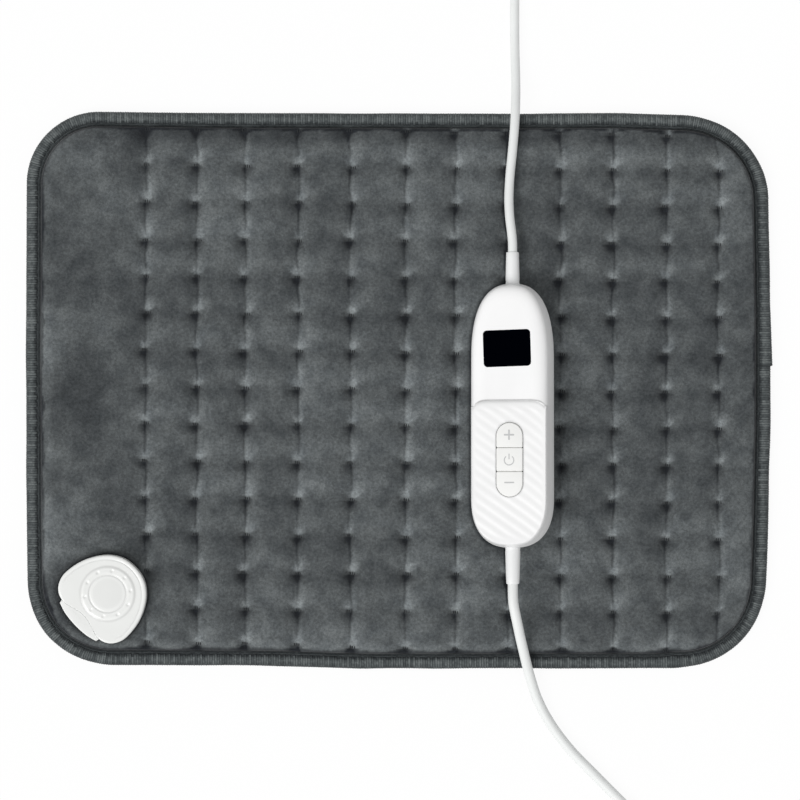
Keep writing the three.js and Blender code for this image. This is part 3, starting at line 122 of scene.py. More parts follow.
MAINS_TAIL = [
    (62.8, 263.3, 20.2), (62.8, 268, 20.2), (62.6, 275, 19.4), (61, 284, 16.9), (57.2, 292.4, 13.6),
    (50.8, 299.6, 10.4), (43.2, 304.6, 8.2), (36.4, 307, 7.2), (30.3, 307.8, 6.85), (23.0, 307.8, 6.85),
]
PAD_ROUTE = [
    (61.3, -102.2, 26.5), (61.3, -109.3, 26.8), (61.6, -114, 26.6), (62.6, -119.5, 25.5), (64, -126, 23.1),
    (65.4, -132.5, 19.8), (67.1, -139.5, 15.8), (68.8, -146.5, 11.9), (70.4, -152.5, 8.7),
    (72.3, -158.8, 6), (74.6, -165.5, 4), (78.9, -174.5, 2.9), (85.6, -185, 2.8), (94, -195.4, 2.9),
    (104, -205.6, 2.9), (115, -216.7, 3), (126, -227.7, 3.2), (134, -235.7, 3.5), (139.1, -240.8, 3.65),
    (142.8, -244.5, 3.65),
]
PAD_TAIL = [
    (151.0, -252.7, 9.75), (154.7, -256.4, 9.75), (160.2, -263.6, 9.2), (164.4, -273, 7.6),
    (165.4, -284.5, 5.6), (162.4, -297, 4), (155.2, -308.4, 3.4), (144.5, -317.3, 3.9), (132, -322.9, 5.1),
    (124.8, -324, 5.5), (117.0, -324, 5.5),
]

# Plug and connector
PLUG_Y, PLUG_BACK, PLUG_FACE = 307.8, -1.3, -35.3
PLUG_WIDTH, PLUG_HEIGHT = 35.3, 13.7
PLUG_RELIEF = {"tip_x": 25.0, "root_radius": 4.6, "tip_radius": 3.3, "length": 26.0, "seat": 3.7}
PIN_RADIUS, PIN_LENGTH, PIN_ROOT, PIN_OFFSET = 2.0, 19.0, 7.7, 9.3
SLEEVE_BORE, SLEEVE_RADIUS, SLEEVE_ROOT, SLEEVE_LENGTH = 2.15, 2.75, 1.0, 10.0
CONNECTOR_Y, CONNECTOR_BACK, CONNECTOR_FRONT = -324.0, 98.7, 66.7
CONNECTOR_WIDTH, CONNECTOR_THICKNESS, CONNECTOR_EDGE = 30.0, 11.0, 1.6
CONNECTOR_RELIEF = {"tip_x": 119.0, "root_radius": 4.3, "tip_radius": 3.4, "length": 20.0, "seat": 3.7}
TONGUE_HALF, TONGUE_CORNER, TONGUE_SHIFT = (9.5, 10.8, 2.3), 0.6, 0.5

draw = np.random.default_rng(7)


# Camera
def new_object(name, data):
    """A new object with the data, linked to the scene."""
    item = bpy.data.objects.new(name, data)
    bpy.context.scene.collection.objects.link(item)
    return item


def add_camera():
    """A long lens straight above the view's centre, far enough to see its width."""
    data = bpy.data.cameras.new("camera")
    data.sensor_width = SENSOR
    data.lens = LENS
    data.clip_end = 50.0
    camera = new_object("camera", data)
    height = VIEW_WIDTH * LENS / SENSOR
    camera.location = Vector(VIEW_CENTRE) * MM + Vector((0, 0, height * MM))
    bpy.context.scene.camera = camera


add_camera()


# Shapes: each is (points, faces), with the points as an array in millimetres
def grid_faces(rows, columns, close_rows=False, close_columns=False):
    """Four-sided faces of a grid whose points are stored row by row."""
    row, column = np.meshgrid(np.arange(rows if close_rows else rows - 1),
                              np.arange(columns if close_columns else columns - 1), indexing="ij")
    below, right = (row + 1) % rows, (column + 1) % columns
    corners = [row * columns + column, row * columns + right,
               below * columns + right, below * columns + column]
    return np.stack(corners, axis=-1).reshape(-1, 4).tolist()


def at_level(ring, height):
    """Points in a plane lifted to a height, or each to its own."""
    return np.column_stack([ring, np.broadcast_to(height, len(ring))])


def rings(stack):
    """A closed body through a stack of rings with as many points each, and a flat face at both ends."""
    points = np.asarray(stack, float)
    levels, count = points.shape[:2]
    faces = grid_faces(levels, count, close_columns=True)
    faces.append(list(range(count)))
    faces.append(list(range((levels - 1) * count, levels * count)))
    return points.reshape(-1, 3), faces


def tube(path, radius, sides):
    """A round section of the given radius carried along the path, level across, with flat ends."""
    along = np.gradient(path, axis=0)
    along /= np.linalg.norm(along, axis=1)[:, None]
    across = np.cross((0.0, 0.0, 1.0), along)
    across /= np.linalg.norm(across, axis=1)[:, None]
    rise = np.cross(along, across)
    angle = 2 * np.pi * (np.arange(sides) + 0.5) / sides
    reach = np.broadcast_to(radius, len(path))[:, None, None]
    return rings(path[:, None] + reach * (np.cos(angle)[None, :, None] * across[:, None]
                                          + np.sin(angle)[None, :, None] * rise[:, None]))


def turned(profile, axis, sides):
    """A profile of (radius, place along the axis) turned round the X, Y or Z axis."""
    radius, along = np.asarray(profile, float).T
    angle = 2 * np.pi * np.arange(sides) / sides
    first, second = np.outer(radius, np.cos(angle)), np.outer(radius, np.sin(angle))
    length = np.repeat(along[:, None], sides, axis=1)
    order = {"x": (length, first, second), "y": (first, length, second), "z": (first, second, length)}
    return rings(np.stack(order[axis], axis=-1))


def stacked(outline, profile):
    """Rings of outline(inset) at the heights of a profile of (inset, height) pairs."""
    return rings([at_level(outline(inset), height) for inset, height in profile])


def joined(*shapes):
    """Several closed bodies as one shape."""
    points, faces, first = [], [], 0
    for shape_points, shape_faces in shapes:
        points.append(shape_points)
        faces.extend([[corner + first for corner in face] for face in shape_faces])
        first += len(shape_points)
    return np.vstack(points), faces


def smooth_curve(knots, step):
    """Centripetal Catmull-Rom curve through the knots, with a point about every step millimetres."""
    knots = np.asarray(knots, float)
    padded = np.vstack([2 * knots[0] - knots[1], knots, 2 * knots[-1] - knots[-2]])
    spans = np.sqrt(np.linalg.norm(np.diff(padded, axis=0), axis=1))
    pieces = []
    for index in range(1, len(padded) - 2):
        before, start, end, after = padded[index - 1:index + 3]
        span_before, span, span_after = spans[index - 1:index + 2]
        leaving = span * ((start - before) / span_before - (end - before) / (span_before + span)
                          + (end - start) / span)
        arriving = span * ((end - start) / span - (after - start) / (span + span_after)
                           + (after - end) / span_after)
        count = max(2, math.ceil(np.linalg.norm(end - start) / step))
        t = np.linspace(0, 1, count, endpoint=False)[:, None]
        pieces.append((2 * t ** 3 - 3 * t ** 2 + 1) * start + (t ** 3 - 2 * t ** 2 + t) * leaving
                      + (3 * t ** 2 - 2 * t ** 3) * end + (t ** 3 - t ** 2) * arriving)
    return np.vstack(pieces + [knots[-1:]])


def rounded_family(half_x, half_y, radii, centre=(0.0, 0.0), steps=12):
    """A rectangle with rounded corners, anticlockwise from its right-bottom corner, as a function of
    how far it is drawn in: its sides move in by that and its corners lose it from their radii."""
    def outline(inset):
        """The rectangle drawn in by the inset, as points."""
        points = []
        for index, (side_x, side_y) in enumerate([(1, -1), (1, 1), (-1, 1), (-1, -1)]):
            radius = max(radii[index] - inset, LEAST_RADIUS)
            angle = (index - 1 + np.linspace(0, 1, steps + 1)) * np.pi / 2
            points.append(np.column_stack([
                centre[0] + side_x * (half_x - inset - radius) + radius * np.cos(angle),
                centre[1] + side_y * (half_y - inset - radius) + radius * np.sin(angle)]))
        return np.vstack(points)
    return outline


def eased_edge(radius, height, top=True, steps=4):
    """Profile points of a rounded edge: a quarter circle from the wall to the flat at a height."""
    angle = np.linspace(0, np.pi / 2, steps + 1)
    inset = radius * (1 - np.cos(angle))
    rise = radius * (1 - np.sin(angle))
    if top:
        return list(zip(inset, height - rise))
    return list(zip(inset, height + rise))[::-1]


def prism(outline, low, high):
    """A flat-ended body with upright walls over the outline, between two heights."""
    return stacked(outline, [(0.0, low), (0.0, high)])


def moved(shape, place):
    """The shape carried by a place."""
    points, faces = shape
    return points + place, faces


def turn_flat(points, angle):
    """Points turned about Z by an angle, so that only their first two coordinates change."""
    turn = np.array([[math.cos(angle), -math.sin(angle)], [math.sin(angle), math.cos(angle)]])
    turned_points = np.array(points, float)
    turned_points[:, :2] = turned_points[:, :2] @ turn.T
    return turned_points


def noise_field(x, y, cell, seed):
    """Smooth value noise from -1 to 1: random numbers on a lattice of that cell size, eased between."""
    lattice = 512
    values = np.random.default_rng(seed).uniform(-1, 1, (lattice, lattice))
    u, v = np.asarray(x) / cell + lattice / 2, np.asarray(y) / cell + lattice / 2
    column, row = np.floor(u).astype(int), np.floor(v).astype(int)
    fx, fy = u - column, v - row
    fx, fy = fx * fx * (3 - 2 * fx), fy * fy * (3 - 2 * fy)
    low = values[row, column] * (1 - fx) + values[row, column + 1] * fx
    high = values[row + 1, column] * (1 - fx) + values[row + 1, column + 1] * fx
    return low * (1 - fy) + high * fy


def powered(value, power):
    """A value's size raised to a power, with its sign kept."""
    return np.sign(value) * np.abs(value) ** power


def smooth_step(value, low, high):
    """0 below low, 1 above high, and an S-shaped rise between."""
    share = np.clip((value - low) / (high - low), 0, 1)
    return share * share * (3 - 2 * share)


def bell(distance, width):
    """1 at no distance, falling to both sides as e to the minus square of distance over width."""
    return np.exp(-(distance / width) ** 2)


def evened(values, reach, mode):
    """Values averaged with their neighbours by a raised cosine, their ends wrapped or repeated."""
    kernel = np.hanning(2 * reach + 1)
    return np.convolve(np.pad(values, reach, mode), kernel / kernel.sum(), "valid")


# Pieces
def face_outwards(mesh, weld=0.0):
    """Turns all faces outwards, after joining points nearer than the weld where one is given, so that
    poles and spines close."""
    working = bmesh.new()
    working.from_mesh(mesh)
    if weld:
        bmesh.ops.remove_doubles(working, verts=working.verts, dist=weld)
        bmesh.ops.dissolve_degenerate(working, dist=weld, edges=working.edges)
    bmesh.ops.recalc_face_normals(working, faces=working.faces)
    working.to_mesh(mesh)
    working.free()


def add_piece(name, shape, material, body="root", sharp=SHARP_ANGLE, nodes=(),
              tones=None):
    """Makes the mesh, turns its faces outwards and hands it to its body, slot and CAD nodes."""
    points, faces = shape
    mesh = bpy.data.meshes.new(name)
    mesh.from_pydata((np.asarray(points) * MM).tolist(), [], faces)
    face_outwards(mesh)
    if tones is not None:
        layer = mesh.attributes.new("tone", "FLOAT", "POINT")
        layer.data.foreach_set("value", np.asarray(tones, np.float32))
    mesh.polygons.foreach_set("use_smooth", np.ones(len(mesh.polygons), bool))
    mesh.set_sharp_from_angle(angle=math.radians(sharp))
    mesh.materials.append(material)
    piece = new_object(name, mesh)
    if nodes:
        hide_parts(*nodes)
    if body:
        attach(piece, body)
    return piece


def carve(piece, *shapes):
    """Cuts closed shapes out of a piece and keeps the result as its mesh."""
    cutters = []
    for index, shape in enumerate(shapes):
        cutter = add_piece(f"{piece.name}_cutter_{index}", shape, piece.data.materials[0], body=None)
        modifier = piece.modifiers.new(f"cut_{index}", "BOOLEAN")
        modifier.object = cutter
        modifier.operation = "DIFFERENCE"
        modifier.solver = "MANIFOLD"
        cutters.append(cutter)
    bpy.context.view_layer.update()
    cut = bpy.data.meshes.new_from_object(piece.evaluated_get(bpy.context.evaluated_depsgraph_get()))
    piece.modifiers.clear()
    piece.data = cut
    cut.set_sharp_from_angle(angle=math.radians(SHARP_ANGLE))
    for cutter in cutters:
        bpy.data.objects.remove(cutter)
    return piece


# Materials
def shader_of(name, roughness, metallic=0.0, **inputs):
    """A new material and its shader, with constant numbers set on the shader's own sockets."""
    material = bpy.data.materials.new(name)
    material.use_nodes = True
    shader = material.node_tree.nodes["Principled BSDF"]
    shader.inputs["Roughness"].default_value = roughness
    shader.inputs["Metallic"].default_value = metallic
    for socket, value in inputs.items():
        shader.inputs[socket.replace("_", " ")].default_value = value
    return material, shader


def noise_of(material, scale, detail, stretch=None):
    """A noise texture on object coordinates; scale is in turns per metre."""
    nodes, links = material.node_tree.nodes, material.node_tree.links
    places = nodes.new("ShaderNodeTexCoord").outputs["Object"]
    if stretch:
        mapping = nodes.new("ShaderNodeMapping")
        mapping.inputs["Scale"].default_value = stretch
        links.new(places, mapping.inputs["Vector"])
        places = mapping.outputs["Vector"]
    noise = nodes.new("ShaderNodeTexNoise")
    noise.inputs["Scale"].default_value = scale
    noise.inputs["Detail"].default_value = detail
    links.new(places, noise.inputs["Vector"])
    return noise.outputs["Fac"]


def ramp_of(material, factor, stops):
    """A colour ramp over a factor; stops are (place, colour)."""
    ramp = material.node_tree.nodes.new("ShaderNodeValToRGB")
    elements = ramp.color_ramp.elements
    while len(elements) < len(stops):
        elements.new(0.5)
    for element, (place, colour) in zip(elements, stops):
        element.position = place
        element.color = (*colour, 1.0)
    material.node_tree.links.new(factor, ramp.inputs["Fac"])
    return ramp.outputs["Color"]


def multiplied(material, first, *others):
    """A colour output multiplied by others."""
    for other in others:
        mix = material.node_tree.nodes.new("ShaderNodeMix")
        mix.data_type = "RGBA"
        mix.blend_type = "MULTIPLY"
        mix.inputs["Factor"].default_value = 1.0
        material.node_tree.links.new(first, mix.inputs["A"])
        material.node_tree.links.new(other, mix.inputs["B"])
        first = mix.outputs["Result"]
    return first


def mottled(material, scale, detail, low, high):
    """A colour output that follows a noise between two colours, or two greys where they are numbers."""
    low, high = [colour if isinstance(colour, tuple) else (colour,) * 3 for colour in (low, high)]
    return ramp_of(material, noise_of(material, scale, detail), [(0.3, low), (0.7, high)])


def toned(material, stops):
    """A colour ramp over the piece's own tone attribute, which holds painted shade and painted
    highlights as well as its own tone: 0 is dark, 0.5 plain and 1 light.
    """
    attribute = material.node_tree.nodes.new("ShaderNodeAttribute")
    attribute.attribute_name = "tone"
    return ramp_of(material, attribute.outputs["Fac"], stops)


def coloured(material, shader, colour):
    """Sends a colour output to the shader's colour."""
    material.node_tree.links.new(colour, shader.inputs["Base Color"])


def bumped(material, shader, layers):
    """Bump from (height output, depth in millimetres, strength) layers, one on another."""
    nodes, links = material.node_tree.nodes, material.node_tree.links
    normal = None
    for height, depth, strength in layers:
        bump = nodes.new("ShaderNodeBump")
        bump.inputs["Distance"].default_value = depth * MM
        bump.inputs["Strength"].default_value = strength
        links.new(height, bump.inputs["Height"])
        if normal:
            links.new(normal, bump.inputs["Normal"])
        normal = bump.outputs["Normal"]
    links.new(normal, shader.inputs["Normal"])


def srgb(*values):
    """Linear colour of an sRGB colour written from 0 to 255."""
    return tuple((v / 255 / 12.92) if v <= 10 else ((v / 255 + 0.055) / 1.055) ** 2.4 for v in values)


def moulded(name, colour, roughness, grain=0.02, shade=0.96, grain_scale=2600, cloud_scale=45,
            with_painted_light=False, **inputs):
    """Moulded plastic: a faint cloud of tone, a fine moulded grain and, where asked, painted shade in
    its recesses and painted highlights, from the piece's own tone attribute."""
    material, shader = shader_of(name, roughness, **inputs)
    base = srgb(*colour)
    tint = mottled(material, cloud_scale, 2.0, tuple(c * shade for c in base), base)
    if with_painted_light:
        # Painted shade in the recesses and painted highlights on edges, from the tone attribute
        recess = toned(material, [(0.0, (0.2,) * 3), (0.5, (1.0,) * 3), (1.0, (1.08,) * 3)])
        tint = multiplied(material, tint, recess)
    coloured(material, shader, tint)
    bumped(material, shader, [(noise_of(material, grain_scale, 2.0), grain, 0.5)])
    return material


def metal(name, colour, roughness, brush):
    """Metal with fine turning or rolling marks, drawn out along the axis where brush is small."""
    material, shader = shader_of(name, roughness, metallic=1.0)
    base = srgb(*colour)
    marks = noise_of(material, 900, 4.0, brush)
    tint = ramp_of(material, marks, [(0.35, tuple(c * 0.85 for c in base)), (0.65, base)])
    coloured(material, shader, tint)
    bumped(material, shader, [(marks, 0.01, 0.4)])
    return material


def make_plush():
    """Short pile: blotches where the nap lies differently, fine fibres, and, from the tone attribute,
    clouds with the painted shade and painted highlights of the quilting and painted shadows beside
    what lies on it.
    """
    material, shader = shader_of("plush", 0.95, Sheen_Weight=0.25, Sheen_Roughness=0.5,
                                 Specular_IOR_Level=0.1)
    blotch = mottled(material, 110, 3.0, srgb(73, 77, 79), srgb(97, 101, 102))
    brushed = mottled(material, 700, 4.0, 0.7, 1.18)
    fibres = mottled(material, 2400, 2.0, 0.76, 1.16)
    # Tone ramp: painted shade in pits, creases and beside the handset and leads, painted highlights above
    # the tacks
    folds = toned(material, [(0.0, (0.16, 0.17, 0.2)), (0.5, (1.0,) * 3), (1.0, (2.25,) * 3)])
    coloured(material, shader, multiplied(material, blotch, brushed, fibres, folds))
    bumped(material, shader, [(noise_of(material, 260, 3.0), 0.6, 0.35),
                              (noise_of(material, 1500, 3.0), 0.25, 0.6)])
    return material


def make_yarn():
    """Overlock yarn: painted highlights along the ribs' tops and painted shade in the groove beside
    them, from the tone attribute.
    """
    material, shader = shader_of("binding_yarn", 0.9, Sheen_Weight=0.15, Specular_IOR_Level=0.2)
    # Painted shade at the dark end of the ramp, painted highlights at the light end
    tone = toned(material, [(0.0, srgb(38, 42, 44)), (0.5, srgb(74, 79, 80)), (1.0, srgb(112, 117, 117))])
    coloured(material, shader, multiplied(material, tone, mottled(material, 1800, 3.0, 0.7, 1.25)))
    bumped(material, shader, [(noise_of(material, 3000, 2.0), 0.12, 0.6)])
    return material


plush = make_plush()
yarn = make_yarn()
thread = moulded("tack_thread", (30, 33, 35), 0.8, grain=0.05, shade=0.6)
face_white = moulded("handset_white_gloss", (248, 248, 248), 0.34, grain=0.008, with_painted_light=True)
# A greyer white than the face's: painted shade for the back shell's sides, which face away from the light
shaded_wall_white = moulded("handset_wall_white", (212, 213, 213), 0.42, grain=0.008)
button_white = moulded("button_satin_white", (241, 241, 239), 0.5, grain=0.01)
mark_grey = moulded("printed_mark_grey", (193, 194, 194), 0.6)
glass = moulded("display_glass", (1, 2, 6), 0.14, grain=0.002, Specular_IOR_Level=0.0)
socket_white = moulded("socket_white_gloss", (234, 235, 233), 0.3, grain=0.01)
lid_white = moulded("socket_lid_gloss", (238, 239, 237), 0.22, grain=0.008, with_painted_light=True)
cord_white = moulded("cord_white", (232, 234, 233), 0.5, grain=0.02, cloud_scale=80)
gland_white = moulded("gland_white", (236, 237, 237), 0.45, grain=0.012)
plug_white = moulded("plug_white", (228, 229, 227), 0.42, grain=0.02)
tie_black = moulded("tie_black", (44, 46, 48), 0.75, grain=0.15, shade=0.7, grain_scale=1400)
felt = moulded("felt_sheet", (201, 196, 184), 0.95, grain=0.2, shade=0.8, grain_scale=900)
wire_coat = moulded("wire_coat", (184, 69, 47), 0.5)
dark_plastic = moulded("dark_plastic", (42, 44, 47), 0.5, grain=0.03)
board_green = moulded("board_green", (31, 90, 58), 0.45, shade=0.8, cloud_scale=200)
nickel = metal("nickel", (190, 188, 181), 0.24, (1, 12, 12))
steel = metal("zinc_steel", (158, 160, 162), 0.34, (6, 1, 6))


# Leads
def coil_line(lead):
    """Middle line of a coil: it spirals in and out at a steady rate, layer on layer, and climbs a
    layer in the half turn where the spiral reverses, with a straight end of one diameter at both ends."""
    steps_in_turn = 72
    diameter, turns, layers = lead["diameter"], lead["turns"], lead["layers"]
    pitch = diameter + TURN_GAP
    layer_angle = 2 * np.pi * turns
    angle = np.linspace(0, layer_angle * layers, int(steps_in_turn * turns * layers) + 1)
    layer = np.minimum(np.floor(angle / layer_angle + 1e-9), layers - 1)
    drawn = pitch * (angle - layer * layer_angle) / (2 * np.pi)
    radius = np.where(layer % 2 == 0, lead["inner"] + pitch * turns - drawn, lead["inner"] + drawn)
    climbed = sum(np.clip((angle - turn * layer_angle + np.pi / 2) / np.pi, 0, 1)
                  for turn in range(1, layers))
    azimuth = lead["start"] + lead["sense"] * angle
    floor = TIE_THICKNESS + GAP + diameter / 2
    line = np.column_stack([lead["centre"][0] + radius * np.cos(azimuth),
                            lead["centre"][1] + radius * np.sin(azimuth), floor + pitch * climbed])
    first, last = [lead["sense"] * np.array([-math.sin(end), math.cos(end), 0.0])
                   for end in (azimuth[0], azimuth[-1])]
    return np.vstack([line[:1] - first * diameter, line, line[-1:] + last * diameter])


def add_lead(name, lead, route, tail, nodes):
    """One lead as one tube: from its gland through the coil to its plug or connector."""
    diameter = lead["diameter"]
    path = np.vstack([smooth_curve(route, 2.5), coil_line(lead), smooth_curve(tail, 2.5)])
    piece = add_piece(name, tube(path, diameter / 2, 16), cord_white, nodes=nodes)


def add_tie(name, node, lead):
    """A woven band closed round the bundle: where the turns cross its middle plane, the tight outline
    round all their sections, which in each direction lies on the section that reaches furthest."""
    line = coil_line(lead)[1:-1]
    line[:, :2] -= lead["centre"]
    ahead, beside, level = turn_flat(line, -TIE_AZIMUTH).T
    crossing = np.flatnonzero((beside[:-1] * beside[1:] <= 0) & (ahead[:-1] > 0))
    sections = np.column_stack([ahead, level])[crossing]
    angle = 2 * np.pi * np.arange(72) / 72
    way = np.column_stack([np.cos(angle), np.sin(angle)])
    inside = sections[(sections @ way.T).argmax(0)] + way * (lead["diameter"] / 2 + GAP)
    outside = inside + way * TIE_THICKNESS
    half = TIE_WIDTH / 2
    points = np.vstack([at_level(*pair)[:, (0, 2, 1)] for pair in
                        ((outside, -half), (outside, half), (inside, half), (inside, -half))])
    points = turn_flat(points, TIE_AZIMUTH)
    points[:, :2] += lead["centre"]
    faces = grid_faces(4, len(inside), close_rows=True, close_columns=True)
    return add_piece(name, (points, faces), tie_black, nodes=[node])


# Plug on the mains lead
def relief_shape(y, z, tip_x, root_radius, tip_radius, length, seat):
    """A tapered strain relief along -X with a rounded tip and five shallow grooves across it."""
    along = np.linspace(0, length + seat, 90)
    first_groove, last_groove, groove_pitch, groove_depth = 4, 22, 3.6, 0.35
    tip_length, tip_drop = 0.8, 0.5
    taper = tip_radius + (root_radius - tip_radius) * np.minimum(along / length, 1)
    grooves = groove_depth * np.clip(np.sin(2 * np.pi * (along - first_groove) / groove_pitch), 0, 1)
    grooves *= (along > first_groove) & (along < last_groove)
    tip = tip_drop * np.clip(1 - along / tip_length, 0, 1) ** 2
    return moved(turned(np.column_stack([taper - grooves - tip, tip_x - along]), "x", 40), (0, y, z))


def plug_shape():
    """The plug's body: superelliptic rings that swell from the strain relief to the flat face,
    with grip ridges on both narrow sides."""
    share = np.linspace(0, 1, 80)
    swell_shares = [0, 0.2, 0.45, 0.7, 1]
    wide = evened(np.interp(share, swell_shares, [0.36, 0.64, 0.89, 0.985, 1.0]), 6, "edge")
    tall = evened(np.interp(share, swell_shares, [0.76, 0.91, 1, 1, 1]), 6, "edge")
    edge = 1 - 0.055 * np.clip((share - 0.965) / 0.035, 0, 1) ** 2
    angle = 2 * np.pi * np.arange(96) / 96
    power = 0.7
    across, rise = powered(np.cos(angle), power), powered(np.sin(angle), power)
    run = share * (PLUG_BACK - PLUG_FACE)
    ridge_depth, ridge_pitch = 0.5, 2.6
    ridges = ridge_depth * np.clip(np.sin(2 * np.pi * run / ridge_pitch), 0, 1)
    ridges *= (share > 0.3) & (share < 0.72)
    sides = np.abs(np.cos(angle)) ** 6
    half_width = (PLUG_WIDTH / 2 * wide * edge)[:, None] + (ridges[:, None] - ridge_depth) * sides
    half_height = (PLUG_HEIGHT / 2 * tall * edge)[:, None]
    x = np.repeat((PLUG_BACK - run)[:, None], len(angle), axis=1)
    return rings(np.stack([x, PLUG_Y - across * half_width, PLUG_HEIGHT / 2 + rise * half_height], axis=-1))


def add_plug():
    """Plug body, its strain relief and its two pins with insulating sleeves."""
    level = PLUG_HEIGHT / 2
    pieces = [
        add_piece("mains_plug", plug_shape(), plug_white, nodes=["mains_plug_body"]),
        add_piece("mains_plug_relief", relief_shape(PLUG_Y, level, **PLUG_RELIEF), cord_white,
                  nodes=["mains_plug_gland"]),
    ]
    sleeve_start, sleeve_end = PLUG_FACE + SLEEVE_ROOT, PLUG_FACE - SLEEVE_LENGTH
    sleeve = turned([(SLEEVE_BORE, sleeve_start), (SLEEVE_RADIUS, sleeve_start),
                     (SLEEVE_RADIUS, sleeve_end + 0.3), (SLEEVE_RADIUS - 0.15, sleeve_end),
                     (SLEEVE_BORE, sleeve_end)], "x", 40)
    tip_profile = [(1.6, 0.0), (1.1, 0.12), (0.6, 0.5), (0.2, 1.1), (0.0, 1.9)]
    tip = [(PIN_RADIUS - inset, PLUG_FACE - PIN_LENGTH + run) for inset, run in tip_profile]
    pin = turned(tip + [(PIN_RADIUS, PLUG_FACE + PIN_ROOT)], "x", 40)
    for number, side in ((1, -1), (2, 1)):
        place = (0, PLUG_Y + side * PIN_OFFSET, level)
        pieces.append(add_piece(f"plug_pin_sleeve_{number}", moved(sleeve, place), dark_plastic))
        pieces.append(add_piece(f"plug_pin_{number}", moved(pin, place), nickel,
                                nodes=[f"mains_plug_pin_{number}"]))
    return pieces


# Connector on the pad lead
def add_connector():
    """Flat connector: two rounded shells with a joint between, a grip field of ridges on top, and
    the strain relief behind."""
    level = CONNECTOR_THICKNESS / 2
    middle = (CONNECTOR_BACK + CONNECTOR_FRONT) / 2
    outline = rounded_family((CONNECTOR_BACK - CONNECTOR_FRONT) / 2, CONNECTOR_WIDTH / 2, [6.0] * 4,
                             (middle, CONNECTOR_Y), 16)
    joint, bevel = GAP / 2, 0.2
    lower = stacked(outline, eased_edge(CONNECTOR_EDGE, 0.0, top=False)
                    + [(0.0, level - joint - bevel), (bevel, level - joint)])
    upper = stacked(outline, [(bevel, level + joint), (0.0, level + joint + bevel)]
                    + eased_edge(CONNECTOR_EDGE, CONNECTOR_THICKNESS, steps=6))
    ridge_pitch, ridge_half, ridge_length = 2.6, 0.7, 8.0
    ridges = [stacked(rounded_family(ridge_half, ridge_length, [ridge_half - 0.01] * 4,
                                     (middle + 4 + ridge_pitch * step, CONNECTOR_Y), 6),
                      [(0.0, CONNECTOR_THICKNESS - 0.6), (0.0, CONNECTOR_THICKNESS + 0.2),
                       (ridge_half / 2, CONNECTOR_THICKNESS + 0.5)]) for step in range(4)]
    relief = relief_shape(CONNECTOR_Y, level, **CONNECTOR_RELIEF)
    pieces = [
        add_piece("connector_lower", lower, socket_white,
                  nodes=["connector_lower_shell"]),
        add_piece("connector_upper", upper, socket_white,
                  nodes=["connector_upper_shell"]),
        add_piece("connector_relief", relief, cord_white, nodes=["connector_gland"]),
        add_piece("connector_grip", joined(*ridges), socket_white),
    ]
    half_x, half_y, half_z = TONGUE_HALF
    tongue = rounded_family(half_x, half_y, [TONGUE_CORNER] * 4,
                            (CONNECTOR_FRONT + TONGUE_SHIFT, CONNECTOR_Y), 6)
    for shell in pieces[:2]:
        carve(shell, prism(tongue, level - half_z, level + half_z))
    return pieces


plug_pieces = add_plug()
connector_pieces = add_connector()
mains_tie = add_tie("mains_bundle_tie", "mains_lead_tie", MAINS)
pad_tie = add_tie("pad_bundle_tie", "pad_lead_tie", PAD_LEAD)


# Handset: shapes are made in its own frame, +Y to the mains lead and +Z out of the face
def handset_matrix():
    """Turns of the handset: pitch about X after roll about Y."""
    roll = np.array([[math.cos(HANDSET_ROLL), 0, math.sin(HANDSET_ROLL)], [0, 1, 0],
                     [-math.sin(HANDSET_ROLL), 0, math.cos(HANDSET_ROLL)]])
    pitch = np.array([[1, 0, 0], [0, math.cos(HANDSET_PITCH), -math.sin(HANDSET_PITCH)],
                      [0, math.sin(HANDSET_PITCH), math.cos(HANDSET_PITCH)]])
    return pitch @ roll


HANDSET_TURN = handset_matrix()
board_low, board_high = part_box("circuit_board")
HANDSET_PLACE = np.array((board_low + board_high) / 2) / MM - HANDSET_TURN @ BOARD_MIDDLE


def on_handset(shape):
    """The shape carried from the handset's own frame to the part's."""
    points, faces = shape
    return points @ HANDSET_TURN.T + HANDSET_PLACE, faces


def handset_outline(inset):
    """Outline of the handset drawn in by inset: two superelliptic caps on straight sides, whose
    points lie closer where the step crosses them."""
    half = HANDSET_WIDTH / 2 - inset
    power = 2 / SQUARENESS
    high, low = HANDSET_LENGTH / 2 - TOP_CAP, BOTTOM_CAP - HANDSET_LENGTH / 2
    step_low, step_high = 1.6, 9.6
    side_y = np.concatenate([np.linspace(high, step_high, 18, endpoint=False)[1:],
                             np.linspace(step_high, step_low, 46, endpoint=False),
                             np.linspace(step_low, low, 42)[:-1]])
    ring = []
    for sign, cap in ((1, TOP_CAP), (-1, BOTTOM_CAP)):
        angle = np.pi * (np.linspace(0, 1, 110) + (0 if sign > 0 else 1))
        x = half * powered(np.cos(angle), power)
        y = sign * (HANDSET_LENGTH / 2 - cap + (cap - inset) * np.abs(np.sin(angle)) ** power)
        ring.append(np.column_stack([x, y]))
        ring.append(np.column_stack([np.full(len(side_y), -sign * half), side_y[::sign]]))
    return np.vstack(ring)


# Across the shells' skin: (inset, height of the dome, height of the panel's edge), then (inset, height)
FACE_PROFILE = smooth_curve([
    (0.3, 0.1, 0.1), (0.02, 0.4, 0.4), (0.28, 3, 3), (0.6, 5.8, 6), (0.95, 8.0, 8.8), (1.3, 9.3, 10.7),
    (1.75, 10.3, 11.9), (2.3, 11.1, 12.55), (3.2, 11.9, 12.9), (4.6, 12.6, 13.08), (6.6, 13.03, 13.17),
    (9.0, FACE_HEIGHT, FACE_HEIGHT)], 0.3)
BELLY_PROFILE = smooth_curve([
    (0.35, -0.1), (0.06, -0.4), (0.15, -1.2), (0.6, -2.6), (1.67, -4.1), (3.1, -5.7), (4.9, -7.0),
    (7.3, -7.9), (10.0, -8.4), (13.0, -8.8), (16.0, -9.0)], 0.5)


def step_line(x):
    """Where the step crosses the face: nearly straight, with its ends bent down."""
    return PANEL_TOP + 1.0 - 3.4 * np.clip(np.abs(x) / 19.6, 0, 1) ** 8


